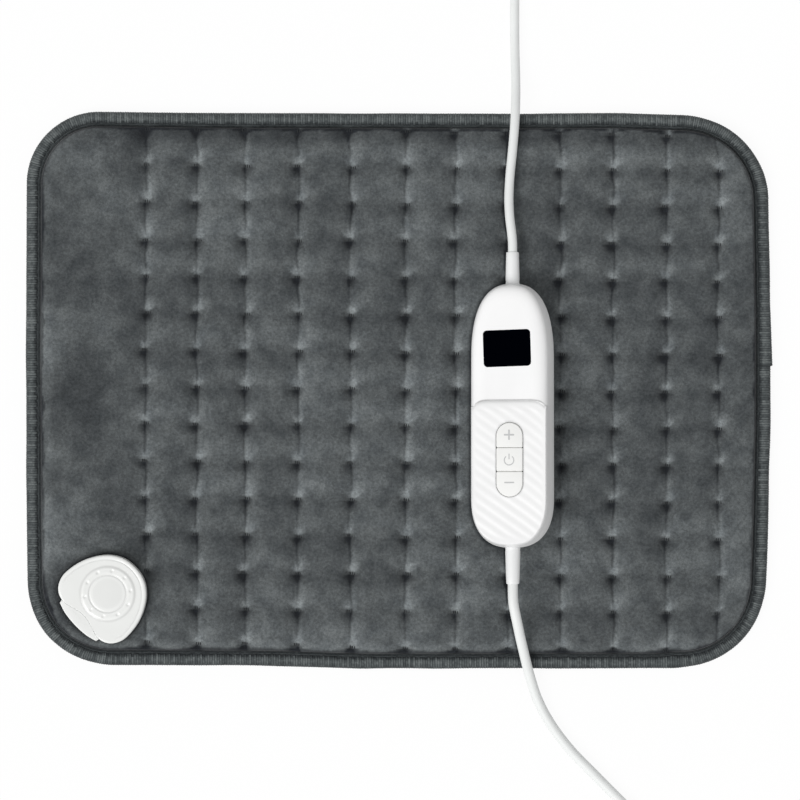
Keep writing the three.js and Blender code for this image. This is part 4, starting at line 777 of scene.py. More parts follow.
def face_level(x, y, dome, edge):
    """Height of the face: above the step line the dome itself, below it the crisper edge, no higher
    than the panel. The panel dips in a gutter along the step, and its soft ribs fall to the right
    and fade near its border."""
    past = step_line(x) - y
    below = smooth_step(past, 0.0, 0.7)
    rib_height, rib_pitch, rib_slope = 0.09, 5.8, 0.7
    ribs = rib_height * np.sin(2 * np.pi * (y + rib_slope * x) / rib_pitch)
    inside = smooth_step(HANDSET_WIDTH / 2 - np.abs(x), 2.6, 5.0) \
        * smooth_step(y + HANDSET_LENGTH / 2, 3.0, 7.0)
    gutter = 0.5 * bell(past - 0.6, 0.8) + 0.2 * bell(past - 1.0, 2.6)
    panel = PANEL_LEVEL - gutter + ribs * inside * smooth_step(past, 2.0, 6.0)
    return dome * (1 - below) + np.minimum(edge, panel) * below


def front_shell_shape():
    """One closed skin: from the middle of the inside out and down the inner wall, round the rim, up
    the outer wall and in over the face, which carries the stepped and ribbed panel. The right side
    leans in towards the face."""
    insets = np.concatenate([np.linspace(HANDSET_WIDTH / 2, 6.0, 4), [3.9, 3.0]])
    inside = [(inset + 0.001, ROOF_INSIDE) for inset in insets]
    inner_wall = [(WALL + 1.0, 9.0), (WALL + 0.3, 4.0), (WALL, 0.1)]
    over_face = [(inset, FACE_HEIGHT, FACE_HEIGHT) for inset in np.linspace(9.4, HANDSET_WIDTH / 2, 34)]
    stack = []
    for inset, height in inside + inner_wall:
        stack.append(at_level(handset_outline(inset), height))
    for inset, dome, edge in [*FACE_PROFILE, *over_face]:
        ring = handset_outline(inset)
        stack.append(at_level(ring, face_level(*ring.T, dome, edge)))
    points = np.asarray(stack)
    lean = 0.9
    points[..., 0] -= lean * smooth_step(points[..., 2], 2.0, 10.5) * smooth_step(points[..., 0], 8.0, 19.0)
    return points.reshape(-1, 3), grid_faces(*points.shape[:2], close_columns=True)


def paint_recess_shade(piece):
    """Writes the front shell's tone as painted shade: grey in the gutter under the step and round the
    key slot, faintly so along the panel's border a little inside the edge and over the panel, and a
    plain painted shade on the sides."""
    mesh = piece.data
    flat = np.empty(len(mesh.vertices) * 3, np.float32)
    mesh.vertices.foreach_get("co", flat)
    x, y, z = ((flat.reshape(-1, 3) / MM - HANDSET_PLACE) @ HANDSET_TURN).T
    past = step_line(x) - y
    ends = 1 - 0.75 * smooth_step(np.abs(x), 16.0, 20.0)
    # Painted shade in the gutter under the step, fading at its ends
    tone = 0.5 - 0.3 * ends * bell(past - 0.4, 0.42) - 0.05 * bell(past - 1.4, 1.3)
    slot_y = np.clip(y, KEYS_BOTTOM + KEYS_HALF, KEYS_TOP - KEYS_HALF)
    # Painted shade round the key slot
    tone -= 0.2 * bell(np.hypot(x, y - slot_y) - KEYS_HALF, 0.45)
    border = HANDSET_WIDTH / 2 - 2.4 - np.abs(x)
    tone -= 0.045 * bell(border, 0.4) * smooth_step(past, 0.5, 2.0) * smooth_step(y, -50.0, -44.0)
    tone -= 0.024 * smooth_step(past, 0.3, 1.5)
    # Painted shade on the sides below the face
    tone = np.where(z > 9.5, tone, 0.425)
    layer = mesh.attributes.get("tone") or mesh.attributes.new("tone", "FLOAT", "POINT")
    layer.data.foreach_set("value", tone.astype(np.float32))


def back_shell_shape():
    """The belly as a closed skin with a hollow: down the inner wall, across, and round outside. Its
    keel rises towards both ends as the square of the distance."""
    rim = 0.1

    def ring_of(inset, height, depth):
        """The outline at a height, lifted towards the ends by the share of the belly's depth."""
        ring = handset_outline(inset)
        lift = KEEL_RISE * depth / BELLY_DEPTH * (2 * ring[:, 1] / HANDSET_LENGTH) ** 2
        return at_level(ring, height + lift)

    thinned = (BELLY_DEPTH - WALL) / BELLY_DEPTH
    inner = [ring_of(inset + WALL, (height + rim) * thinned - rim, -height)
             for inset, height in BELLY_PROFILE[::-1][::2]]
    outer = [ring_of(inset, height, -height) for inset, height in BELLY_PROFILE]
    middle = [ring_of(inset, -BELLY_DEPTH, BELLY_DEPTH) for inset in np.linspace(17, HANDSET_WIDTH / 2, 8)]
    inner_middle = [ring_of(inset, -BELLY_DEPTH + WALL, BELLY_DEPTH)
                    for inset in np.linspace(HANDSET_WIDTH / 2, 19.2, 6)]
    points = np.asarray(inner_middle + inner + outer + middle)
    return points.reshape(-1, 3), grid_faces(*points.shape[:2], close_columns=True)


def gland_holes():
    """Round prisms that cut the holes of both glands through the handset's ends."""
    reach = HANDSET_LENGTH / 2
    return [turned([(gland["hole"], gland["side"] * place) for place in (reach - 6, reach + 3)], "y", 48)
            for gland in (MAINS_GLAND, PAD_GLAND)]


def key_family(low, high, drawn):
    """Outline of one key of the capsule between two heights: round at the capsule's ends."""
    half, radius = KEYS_HALF - drawn, 0.7
    top_radius = half if high > KEYS_TOP - 1 else radius
    bottom_radius = half if low < KEYS_BOTTOM + 1 else radius
    centre = (0.0, (low + high) / 2)
    return rounded_family(half, (high - low) / 2, [bottom_radius, top_radius, top_radius, bottom_radius],
                          centre, 16)


def display_family(room=0.0):
    """Outline of the display, a little larger by the room asked for, set very slightly askew."""
    half_x, half_y = DISPLAY_HALF
    upright = rounded_family(half_x + room, half_y + room, [DISPLAY_CORNER + room] * 4)
    return lambda inset: turn_flat(upright(inset), DISPLAY_TURN) + DISPLAY_PLACE


def add_front_shell():
    """Front shell with its display window, key slot and gland holes."""
    piece = add_piece("handset_front", on_handset(front_shell_shape()), face_white,
                      nodes=["handset_front_shell"])
    face_outwards(piece.data, WELD * MM)
    window = prism(display_family(GAP / 2), ROOF_INSIDE - 1, FACE_HEIGHT + 1)
    slot = rounded_family(KEYS_HALF, (KEYS_TOP - KEYS_BOTTOM) / 2, [KEYS_HALF - 0.01] * 4,
                          (0.0, (KEYS_TOP + KEYS_BOTTOM) / 2), 24)
    mouth, flare = PANEL_LEVEL + 0.02, 0.25
    slot = stacked(slot, [(0.0, ROOF_INSIDE - 1), (0.0, mouth - flare), (-flare, mouth),
                          (-flare, FACE_HEIGHT + 1)])
    carve(piece, *[on_handset(cut) for cut in [window, slot] + gland_holes()])
    paint_recess_shade(piece)


def add_back_shell():
    """Back shell with its gland holes and four screw counterbores."""
    piece = add_piece("handset_back", on_handset(back_shell_shape()), shaded_wall_white,
                      nodes=["handset_back_shell"])
    face_outwards(piece.data, WELD * MM)
    hole = turned([(SCREW_HOLE, -BELLY_DEPTH - 1), (SCREW_HOLE, SCREW_SEAT)], "z", 32)
    cuts = [moved(hole, place) for place in SCREW_PLACES] + gland_holes()
    carve(piece, *[on_handset(cut) for cut in cuts])


def add_display():
    """The display's lens: a slab of black glass with an eased edge, flush with the face."""
    profile = [(0.0, DISPLAY_FLOOR)] + eased_edge(0.35, FACE_HEIGHT - 0.02)
    add_piece("display_glass", on_handset(stacked(display_family(), profile)), glass,
              nodes=["display_lens"])


def bar(half_x, half_y, centre, low, high):
    """A small printed bar with rounded ends."""
    return prism(rounded_family(half_x, half_y, [min(half_x, half_y) * 0.9] * 4, centre, 5), low, high)


def ring_mark(centre, radius, thickness, low, high, opening):
    """A printed ring that is open at its top by the given angle either side."""
    angle = np.pi / 2 + np.linspace(opening, 2 * np.pi - opening, 60)
    inner, outer = radius - thickness / 2, radius + thickness / 2
    sections = [(inner, low), (outer, low), (outer, high), (inner, high)]
    return rings(np.stack([np.column_stack([centre[0] + r * np.cos(angle), centre[1] + r * np.sin(angle),
                                            np.full(len(angle), z)]) for r, z in sections], axis=1))


def key_marks(name, middle, level):
    """The printed sign of a key: a plus, a minus, or the power sign's open ring and bar."""
    low, high = level - 0.05, level + 0.03
    centre = (-0.2, middle)
    if name == "plus":
        return joined(bar(2.8, 0.46, centre, low, high), bar(0.46, 2.8, centre, low, high - 0.005))
    if name == "minus":
        return bar(2.7, 0.4, (-0.1, middle), low, high)
    return joined(ring_mark((-0.2, middle - 0.3), 2.55, 0.6, low, high, math.radians(38)),
                  bar(0.3, 1.55, (-0.2, middle + 1.7), low, high))


def add_keys():
    """Three keys: crowned caps in the capsule, flange and stem below, each on its own joint."""
    cuts = [KEYS_TOP - share * (KEYS_TOP - KEYS_BOTTOM) for share in (0, *KEY_CUT_SHARES, 1)]
    level = PANEL_LEVEL + KEY_RISE
    skirt, end_gap, inner_gap = 0.16, 0.3, 0.2
    for index, name in enumerate(("plus", "power", "minus")):
        high = cuts[index] - (end_gap if index == 0 else inner_gap)
        low = cuts[index + 1] + (end_gap if index == 2 else inner_gap)
        middle = (cuts[index] + cuts[index + 1]) / 2
        cap = stacked(key_family(low, high, GAP), [(-skirt, KEY_FLOOR), (-skirt, PANEL_LEVEL - 0.3),
                                                   (0.0, PANEL_LEVEL - 0.22)] + eased_edge(0.4, level))
        flange = prism(rounded_family(8.1, (high - low) / 2 - 1.5, [0.6] * 4, (0, middle), 4),
                       KEY_FLOOR, FLANGE_TOP)
        stem = moved(turned([(2.0, STEM_FLOOR), (2.0, KEY_FLOOR + 0.2)], "z", 24), (0, middle, 0))
        add_piece(f"key_{name}", on_handset(joined(cap, flange, stem)), button_white,
                  body=f"button_{name}", nodes=[f"button_{name}"])
        add_piece(f"key_{name}_sign", on_handset(key_marks(name, KEY_SIGN_PLACES[name], level)), mark_grey,
                  body=f"button_{name}")


def add_gland(name, node, gland):
    """Gland: collar behind the wall, then a tapered sleeve with a rounded end and a shallow neck."""
    root, tip = gland["root"], gland["tip"]
    face = HANDSET_LENGTH / 2
    end = face + gland["length"]
    collar, bore, back = 5.0, 2.2, face - 4.9
    profile = [(2.0, back), (collar, back), (collar, face - 2.5), (root, face - 2.5), (root, face + 0.2),
               (root - 0.12, face + 0.9), (root - 0.12, face + 1.5), (root, face + 2.1),
               (tip + 0.35 * (root - tip), end - 4.0), (tip + 0.03, end - 0.5), (tip - 0.12, end - 0.15),
               (tip - 0.4, end), (bore, end)]
    points, faces = turned(profile, "y", 64)
    return add_piece(name, on_handset((points * (1, gland["side"], 1), faces)), gland_white,
                     nodes=[node])


add_front_shell()
add_back_shell()
add_display()
add_keys()
mains_gland = add_gland("mains_lead_gland", "mains_gland", MAINS_GLAND)
pad_gland = add_gland("pad_lead_sleeve", "pad_lead_gland", PAD_GLAND)
add_lead("mains_cable", MAINS, MAINS_ROUTE, MAINS_TAIL,
         ["mains_lead", "mains_lead_coil", "mains_lead_tail"])
add_lead("pad_cable", PAD_LEAD, PAD_ROUTE, PAD_TAIL,
         ["pad_lead", "pad_lead_coil", "pad_lead_tail"])


# Coupling socket: shapes are made in its own frame, with its mouth looking along +X
def on_socket(shape):
    """The shape carried from the socket's own frame to the part's."""
    points, faces = shape
    return turn_flat(points, SOCKET_TURN) + (*SOCKET_PLACE, 0), faces


# Half outlines as shares of the socket's reach and half width: back rim, lid's parting and front
RIM_SHARES = [(-0.836, 0), (-0.787, 0.321), (-0.639, 0.574), (-0.434, 0.759), (-0.123, 0.924),
              (0.18, 0.996), (0.463, 0.996), (0.684, 0.886), (0.791, 0.743), (0.828, 0.616)]
PARTING_SHARES = [(0.816, 0.485), (0.775, 0.338), (0.73, 0.169), (0.709, 0)]
FRONT_SHARES = [(0.906, 0.595), (0.975, 0.338), (1, 0)]
# Radii on the lid: its disc, the middle of its raised ring and the ring's foot
LID_DISC, LID_RING, LID_FOOT, DENTS = 9.6, 12.4, 14.9, 10


def socket_curve(front, fine=1.0):
    """Closed outline: a smooth back rim through its shares and a smooth front, mirrored."""
    scale = np.array([SOCKET_REACH, SOCKET_HALF])
    back = [(u, -v) for u, v in RIM_SHARES[:0:-1]] + RIM_SHARES
    ahead = front + [(u, -v) for u, v in front[-2::-1]]
    return np.vstack([smooth_curve(np.array(knots) * scale, fine) for knots in (back, ahead)])[::-1]


def drawn_in(outline, inset):
    """The outline moved inwards along its normals."""
    ahead, behind = np.roll(outline, -1, axis=0), np.roll(outline, 1, axis=0)
    along = (ahead - behind) / np.linalg.norm(ahead - behind, axis=1)[:, None]
    return outline + inset * np.column_stack([-along[:, 1], along[:, 0]])


def socket_family(front):
    """The socket's outline as a function of how far it is drawn in."""
    outline = socket_curve(front)
    return lambda inset: drawn_in(outline, inset)


def lid_reach(angle):
    """How far the lid's outline lies from its middle in each direction."""
    outline = socket_curve(PARTING_SHARES, 0.3)
    turn = np.arctan2(outline[:, 1], outline[:, 0])
    order = np.argsort(turn)
    turn, reach = turn[order], np.hypot(outline[:, 0], outline[:, 1])[order]
    turn = np.concatenate([turn - 2 * np.pi, turn, turn + 2 * np.pi])
    return np.interp(angle, turn, np.tile(reach, 3))


def lid_shape():
    """The lid as a height over rays and circles: domed disc, groove, raised ring with ten dents, a
    fine groove inside the rim, and an eased edge that turns down to the joint. Its tone holds painted
    shade in the grooves and round the ring, and painted highlights on the shoulders of the disc, the
    ring and the rim."""
    angle = np.linspace(-np.pi, np.pi, 360, endpoint=False)
    reach = evened(lid_reach(angle), 3, "wrap")
    fixed = np.concatenate([[0.05], np.linspace(1.5, 9.0, 8), np.linspace(9.3, 10.7, 12),
                            np.linspace(11.0, 13.9, 14), np.linspace(14.1, LID_FOOT, 6)])
    share = np.concatenate([np.linspace(0.08, 0.5, 7), 1 - np.geomspace(0.42, 0.004, 26)])
    inner = np.repeat(fixed[:, None], len(angle), axis=1)
    radius = np.vstack([inner, LID_FOOT + share[:, None] * (reach - LID_FOOT), reach])
    x, y = radius * np.cos(angle), radius * np.sin(angle)
    inset = reach - radius
    raised = 0.5 * (1 - smooth_step(radius, 13.3, 15.0))
    dome = 0.3 * np.clip(1 - (radius / LID_DISC) ** 2, 0, 1)
    crown = 0.12 * np.clip(1 - ((radius - 12.35) / 2.0) ** 2, 0, 1)
    groove = 0.28 * smooth_step(radius, 9.2, 9.9) * (1 - smooth_step(radius, 10.0, 10.7))
    dents = np.zeros_like(radius)
    for place in 2 * np.pi * np.arange(DENTS) / DENTS:
        far = np.hypot(x - LID_RING * math.cos(place), y - LID_RING * math.sin(place))
        dents = np.maximum(dents, 0.55 * bell(far, 0.75))
    back = 1 - smooth_step(x, 9.0, 15.0)
    line = 0.3 * bell(inset - 2.3, 0.22) * back
    rounding = 0.3 + 1.0 * smooth_step(np.abs(angle), math.radians(30), math.radians(40))
    edge = np.clip(rounding - inset, 0, rounding)
    fall = rounding - np.sqrt(np.clip(rounding ** 2 - edge ** 2, 0, None))
    height = LID_TOP + raised + dome + crown - groove - dents - line - fall
    height[-1] = LID_TOP - rounding
    # Painted shade at the ring's foot and in the groove, painted highlights on the shoulders of the ring
    # and the disc
    tone = 0.5 - 0.03 * (1 - smooth_step(radius, 7.5, 8.6))
    for place, width, amount in ((14.7, 0.5, -0.1), (13.2, 0.5, 0.25), (11.1, 0.4, 0.2),
                                 (10.1, 0.5, -0.06), (9.0, 0.35, 0.12)):
        tone += amount * bell(radius - place, width)
    # Painted highlight inside the rim and painted shade in its fine groove
    tone += back * (0.3 * bell(inset - 1.5, 0.5) - 0.1 * bell(inset - 2.3, 0.3))
    top = np.stack([x, y, height], axis=-1)
    wall = np.stack([x[-1], y[-1], np.full(len(angle), LID_FLOOR)], axis=-1)
    return rings(np.concatenate([top, wall[None]])), np.vstack([tone, tone[-1:]]).ravel()


def add_socket():
    """Housing with its ledge, mouth and pin room, and the lid that closes it."""
    profile = [(0.3, SOCKET_BASE), (0.0, SOCKET_BASE + 0.3), (0.0, 14.0)] + eased_edge(0.6, LEDGE_TOP)
    housing = add_piece("coupling_housing", on_socket(stacked(socket_family(FRONT_SHARES), profile)),
                        socket_white, nodes=["socket_housing"])
    parting = socket_family(PARTING_SHARES)
    lid_room, wide_room = [stacked(parting, [(-wider, HOUSING_TOP + 0.1), (-wider, ABOVE_SOCKET)])
                           for wider in (0.15, 3.0)]
    square = [LEAST_RADIUS] * 4
    mouth = prism(rounded_family(*MOUTH_HALF, square, MOUTH_MIDDLE, 2), ROOM_FLOOR, MOUTH_ROOF)
    room = prism(rounded_family(*ROOM_HALF, square, ROOM_MIDDLE, 2), ROOM_FLOOR, ROOM_ROOF)
    cuts = (lid_room, moved(wide_room, (-6.0, 0.0, 0.0)), mouth, room)
    carve(housing, *[on_socket(shape) for shape in cuts])
    shape, tones = lid_shape()
    add_piece("coupling_lid", on_socket(shape), lid_white, nodes=["socket_cover"],
              tones=tones)


add_socket()


# Pad
def edge_distance(x, y):
    """How far a point lies inside the pad's outline."""
    radius = np.where((x < 0) & (y > 0), TIGHT_CORNER, CORNER)
    over_x, over_y = np.abs(x) - (PAD_LENGTH / 2 - radius), np.abs(y) - (PAD_WIDTH / 2 - radius)
    straight = np.minimum(PAD_LENGTH / 2 - np.abs(x), PAD_WIDTH / 2 - np.abs(y))
    return np.where((over_x > 0) & (over_y > 0), radius - np.hypot(over_x, over_y), straight)


def round_corners(x, y):
    """Bends a rectangular grid into the pad's outline: in each corner square a point keeps its
    direction from the corner's centre, and its distance becomes its larger coordinate."""
    radius = np.where((x < 0) & (y > 0), TIGHT_CORNER, CORNER)
    centre_x = np.sign(x) * (PAD_LENGTH / 2 - radius)
    centre_y = np.sign(y) * (PAD_WIDTH / 2 - radius)
    dx, dy = x - centre_x, y - centre_y
    inside = (np.abs(x) > np.abs(centre_x)) & (np.abs(y) > np.abs(centre_y))
    factor = np.where(inside, np.maximum(np.abs(dx), np.abs(dy)) / np.maximum(np.hypot(dx, dy), 1e-6), 1.0)
    return np.where(inside, centre_x + dx * factor, x), np.where(inside, centre_y + dy * factor, y)


def grid_lines(half, centres, offsets, insets, step):
    """Grid lines across the pad: close ones at the edges and round each centre, even ones between."""
    near = (np.asarray(centres)[:, None] + np.concatenate([-offsets[::-1], offsets])[None]).ravel()
    near = near[np.abs(near) < half - insets[-1] - 0.4]
    lines = np.sort(np.concatenate([-half + insets, near, half - insets]))
    lines = lines[np.concatenate([[True], np.diff(lines) > 0.25])]
    filled = [np.linspace(a, b, max(1, math.ceil((b - a) / step)), endpoint=False)
              for a, b in zip(lines[:-1], lines[1:])]
    return np.concatenate(filled + [[half - insets[0]]])


TUFT_SHIFT = draw.uniform(-1.0, 1.0, (ROW_COUNT, len(COLUMNS), 2)) * (1.1, 0.5) + (0, 0.6)
TUFT_DEPTH = draw.uniform(0.65, 1.35, (ROW_COUNT, len(COLUMNS)))
PILLOW_RISE = draw.uniform(-0.3, 0.3, (ROW_COUNT + 1, len(COLUMNS) + 1))
TUFT_LEAN = draw.uniform(-0.1, 0.5, (ROW_COUNT, len(COLUMNS)))
# Nearer than this to the pad's outline, the binding covers a tack
COVERED = BINDING_WIDTH + 0.8


def tack_places(row, column):
    """Where the tacks of the given rows and columns lie."""
    shift_x, shift_y = TUFT_SHIFT[row, column, 0], TUFT_SHIFT[row, column, 1]
    return COLUMNS[column] + shift_x, ROWS[row] - ROW_FALL * COLUMNS[column] + shift_y


def tuft_offsets(x, y):
    """For each point, where it lies from the tack in the nearest column and row, that tack's strength
    and how far its brushed nap leans; tacks that the binding covers have no strength."""
    column = np.abs(x[..., None] - COLUMNS).argmin(-1)
    row_y = y + ROW_FALL * x
    row = np.clip(np.round((row_y - ROWS[0]) / ROW_PITCH), 0, ROW_COUNT - 1).astype(int)
    tack_x, tack_y = tack_places(row, column)
    strength = TUFT_DEPTH[row, column] * (edge_distance(tack_x, tack_y) > COVERED)
    return x - tack_x, y - tack_y, strength, TUFT_LEAN[row, column]


def column_places(x, y):
    """For each point, the gap between tack columns that it lies in, its distance from the wandering
    crease of the nearest column, and that distance as a share of half the gap."""
    gap = np.searchsorted(COLUMNS, x)
    half_gap = np.concatenate([[FIELD_SPACE], np.diff(COLUMNS), [MARGIN_SPACE]])[gap] / 2
    wander = 0.6 * noise_field(x, y, 24, 5) + 0.7 * noise_field(x, y, 9, 6) + 0.35
    from_column = (x - wander)[..., None] - COLUMNS
    nearest = np.abs(from_column).argmin(-1)
    across = np.take_along_axis(from_column, nearest[..., None], -1)[..., 0]
    return gap, across, np.clip(np.abs(across) / half_gap, 0, 1)


def between_columns(x):
    """True between the first and the last tack column."""
    return (x > COLUMNS[0]) & (x < COLUMNS[-1])


def quilt_depth(x, y):
    """Depth below the crown: a cusped valley along each tack column, deeper near a tack, a pit at
    each tack that is short above and long below, and faint curved puckers along the rows."""
    gap, across, share = column_places(x, y)
    dx, dy, strength, _ = tuft_offsets(x, y)
    near_tack = bell(dy, 6.0)
    depth = (1.35 + 0.75 * near_tack) * (1 - share) ** 1.9
    depth += 0.35 * (1 + noise_field(x, y, 30, 8)) * bell(across, 0.9) * smooth_step(-dy, -3, 4)
    pit = bell(dx + 0.9, np.where(dy > 0, 2.8, 3.6)) * bell(dy, np.where(dy > 0, 2.2, 5.0))
    bend = 1.1 * np.sin(np.pi * share) * noise_field(x, y, 40, 9)
    pucker = bell(dy + bend, 1.5) * (0.45 - 0.3 * share) * between_columns(x)
    fan = bell(np.hypot(dx, dy), 7.5) * np.cos(8 * np.arctan2(dy, dx) + 3 * strength)
    depth += strength * (2.1 * pit + 0.55 * pucker + 0.16 * fan)
    row = np.clip(np.floor((y + ROW_FALL * x - ROWS[0]) / ROW_PITCH) + 1, 0, ROW_COUNT).astype(int)
    depth -= PILLOW_RISE[row, gap] * (1 - smooth_step(1 - share, 0.0, 0.45)) * (1 - near_tack)
    return depth + 0.22 * noise_field(x, y, 14, 11) + 0.12 * noise_field(x, y, 5, 12)


def quilt_painted_light_and_tone(x, y):
    """Tone of the quilting: painted shade in the pit below a tack and in the crease, painted light beside
    the crease and painted highlights in the rays of brushed nap above a tack, painted light and shade
    across each pillow and along the rows, and clouds that are stronger in the plain field."""
    _, across, share = column_places(x, y)
    dx, dy, strength, lean = tuft_offsets(x, y)
    plain = smooth_step(-x, 128, 142)
    tone = 0.5 + 0.09 * noise_field(x, y, 45, 13) + (0.08 + 0.05 * plain) * noise_field(x, y, 17, 14)
    tone += 0.17 * plain * noise_field(x, y, 33, 23) - 0.03 * smooth_step(x, 80, 110)
    # Painted light and shade: lighter just right of each column, darker just left of it, and banded along
    # the rows
    tone += 0.06 * np.tanh((across + 0.3) / 0.8) * (1 - share) ** 0.7
    tone += 0.05 * np.cos(2 * np.pi * (dy - 8.0) / ROW_PITCH) * between_columns(x)
    fall, climb = np.clip(-dy, 0, None), np.clip(dy, 0, None)
    # Painted shade in the pit below each tack
    tone -= 0.42 * strength * bell(dx + 0.7, 3.0 - 0.2 * np.minimum(fall, 9)) \
        * smooth_step(fall, 0.2, 1.2) * bell(np.clip(fall - 1.6, 0, None), 3.3)
    # Painted shade in the crease
    tone -= 0.24 * bell(across + 0.9, 0.55) * (0.75 + 0.5 * noise_field(x, y, 8, 15))
    # Painted light beside the crease
    highlight_streak = bell(across - 0.9, 1.3) * np.clip(0.5 + noise_field(x, y, 11, 16), 0, 1)
    tone += 0.16 * highlight_streak * (1 - bell(dy, 6.0) * (dy < 0))
    # Painted highlights in rays above each tack, and a broader painted glow above it
    rays = 0.8 + 0.2 * np.cos(11 * np.arctan2(dy, dx + 0.5) + 5 * strength)
    highlight_flame = bell(dx + 0.5 - lean * climb, 1.6 + 0.34 * climb) * smooth_step(climb, 0.5, 1.6)
    tone += 0.8 * strength * rays * highlight_flame * bell(np.clip(climb - 1.8, 0, None), 3.0)
    return tone + 0.05 * strength * bell(dx - 0.5, 6.0) * bell(dy - 6.5, 3.6)


def carried_outline(outline, carry):
    """An outline of points in a plane as it lies in the part's frame, seen from above."""
    return carry((at_level(outline, 0.0), []))[0][:, :2]


def gaps_to(line, x, y):
    """Distance of each point from every point of a line, in one row for each point."""
    return np.hypot(x[:, None] - line[:, 0], y[:, None] - line[:, 1])


def socket_clearance(x, y):
    """Distance of points from the socket's wall, negative inside it; far points get 50."""
    outline = carried_outline(socket_curve(FRONT_SHARES), on_socket)
    clear = np.full(x.shape, 50.0)
    near = np.hypot(x - SOCKET_PLACE[0], y - SOCKET_PLACE[1]) < SOCKET_REACH + 16
    gaps = gaps_to(outline, x[near], y[near])
    nearest = gaps.argmin(1)
    along = np.roll(outline, -1, axis=0) - np.roll(outline, 1, axis=0)
    away = np.column_stack([x[near], y[near]]) - outline[nearest]
    side = along[nearest, 1] * away[:, 0] - along[nearest, 0] * away[:, 1]
    clear[near] = gaps.min(1) * np.sign(side)
    return clear


def shadow_beside_leads(x, y):
    """Painted shadow under the handset and both leads and along their left side, from 0 to 1."""
    outline = carried_outline(handset_outline(0.0), on_handset)
    middle_y = outline[:, 1].mean()
    turn = np.arctan2(outline[:, 1] - middle_y, outline[:, 0] - HANDSET_X)
    reach = np.hypot(outline[:, 1] - middle_y, outline[:, 0] - HANDSET_X)
    order = turn.argsort()
    own_turn = np.arctan2(y - middle_y, x - HANDSET_X)
    under = np.hypot(y - middle_y, x - HANDSET_X) \
        < np.interp(own_turn, turn[order], reach[order], period=2 * np.pi)
    sleeves = ([(HANDSET_X, 56, 20), (HANDSET_X, 74, 19)], [(HANDSET_X, -82, 25), (HANDSET_X, -104, 26)])
    routes = ((MAINS_ROUTE[:10], 2.5), (PAD_ROUTE[:12], 2.75), (sleeves[0], 3.5), (sleeves[1], 3.8))
    strips = [(outline, 0.0, 2.3)]
    strips += [(smooth_curve(route, 1.0)[:, :2], radius, 1.2) for route, radius in routes]
    dark = np.zeros(x.shape)
    for line, radius, wide in strips:
        low, high = line.min(0) - 6, line.max(0) + 6
        near = (x > low[0]) & (x < high[0]) & (y > low[1]) & (y < high[1])
        gaps = gaps_to(line, x[near], y[near])
        middle = HANDSET_X if radius == 0 else line[gaps.argmin(1), 0] + 0.6 * radius
        left = smooth_step(middle - x[near], 0.0, 3.0 if radius else 14.0)
        beyond = np.where(under[near] & (radius == 0), 0.0, gaps.min(1) - radius)
        dark[near] = np.maximum(dark[near], left * (1 - smooth_step(beyond, 0.5, wide)))
    return dark


# The binding's ribs, the points along each, and where its end laps over its start
RIB_PITCH, RIB_STEPS = 1.32, 4
LAP_START, LAP_END = 48.0, 13.1

# The soft edge as it lies: millimetres along it from the right-bottom corner, and millimetres outwards
EDGE_LIE = np.array([
    (0, -0.8), (60, -2.0), (105, -0.5), (160, 0.7), (220, 0.7), (290, -0.6), (340, -2.0), (385, -0.6),
    (440, -0.9), (600, -0.6), (690, 0.4), (760, 0.6), (820, 1.0), (920, 0.4), (975, -0.3), (1005, -1.9),
    (1095, -1.5), (1150, 0.1), (1280, 0.0)])


def binding_stations():
    """Points of the pad's outline with their inward directions, closely and evenly spaced: each
    corner's quarter circle and the straight side after it."""
    half = np.array([PAD_LENGTH, PAD_WIDTH]) / 2
    radii = [CORNER, CORNER, TIGHT_CORNER, CORNER]
    sides = np.array([(1, -1), (1, 1), (-1, 1), (-1, -1)])
    centres = [side * (half - radius) for side, radius in zip(sides, radii)]
    places, inwards = [], []
    for index, (centre, radius) in enumerate(zip(centres, radii)):
        steps = RIB_STEPS * round(radius * np.pi / 2 / RIB_PITCH)
        angle = (index - 1 + np.arange(steps) / steps) * np.pi / 2
        out = np.column_stack([np.cos(angle), np.sin(angle)])
        places.append(centre + radius * out)
        inwards.append(-out)
        last = np.array([math.cos(index * np.pi / 2), math.sin(index * np.pi / 2)])
        start = centre + radius * last
        end = centres[(index + 1) % 4] + radii[(index + 1) % 4] * last
        run = RIB_STEPS * round(np.linalg.norm(end - start) / RIB_PITCH)
        share = (np.arange(run) / run)[:, None]
        places.append(start + share * (end - start))
        inwards.append(np.repeat(-last[None], run, axis=0))
    return np.vstack(places), np.vstack(inwards)


def settled(points):
    """Points of the pad moved as its soft edge lies: by the drift of the nearest stretch of the edge,
    whole in the binding and fading out towards the middle."""
    places, inwards = binding_stations()
    along = np.concatenate([[0], np.cumsum(np.linalg.norm(np.diff(places, axis=0), axis=1))])
    drift = evened(np.interp(along, *EDGE_LIE.T), 20, "wrap")
    turn = np.arctan2(places[:, 1] / PAD_WIDTH, places[:, 0] / PAD_LENGTH)
    order = np.argsort(turn)
    moves = (-drift[:, None] * inwards)[order]
    own_turn = np.arctan2(points[:, 1] / PAD_WIDTH, points[:, 0] / PAD_LENGTH)
    share = 1 - smooth_step(edge_distance(points[:, 0], points[:, 1]), 9, 24)
    lying = points.copy()
    for axis in (0, 1):
        lying[:, axis] += share * np.interp(own_turn, turn[order], moves[:, axis], period=2 * np.pi)
    return lying


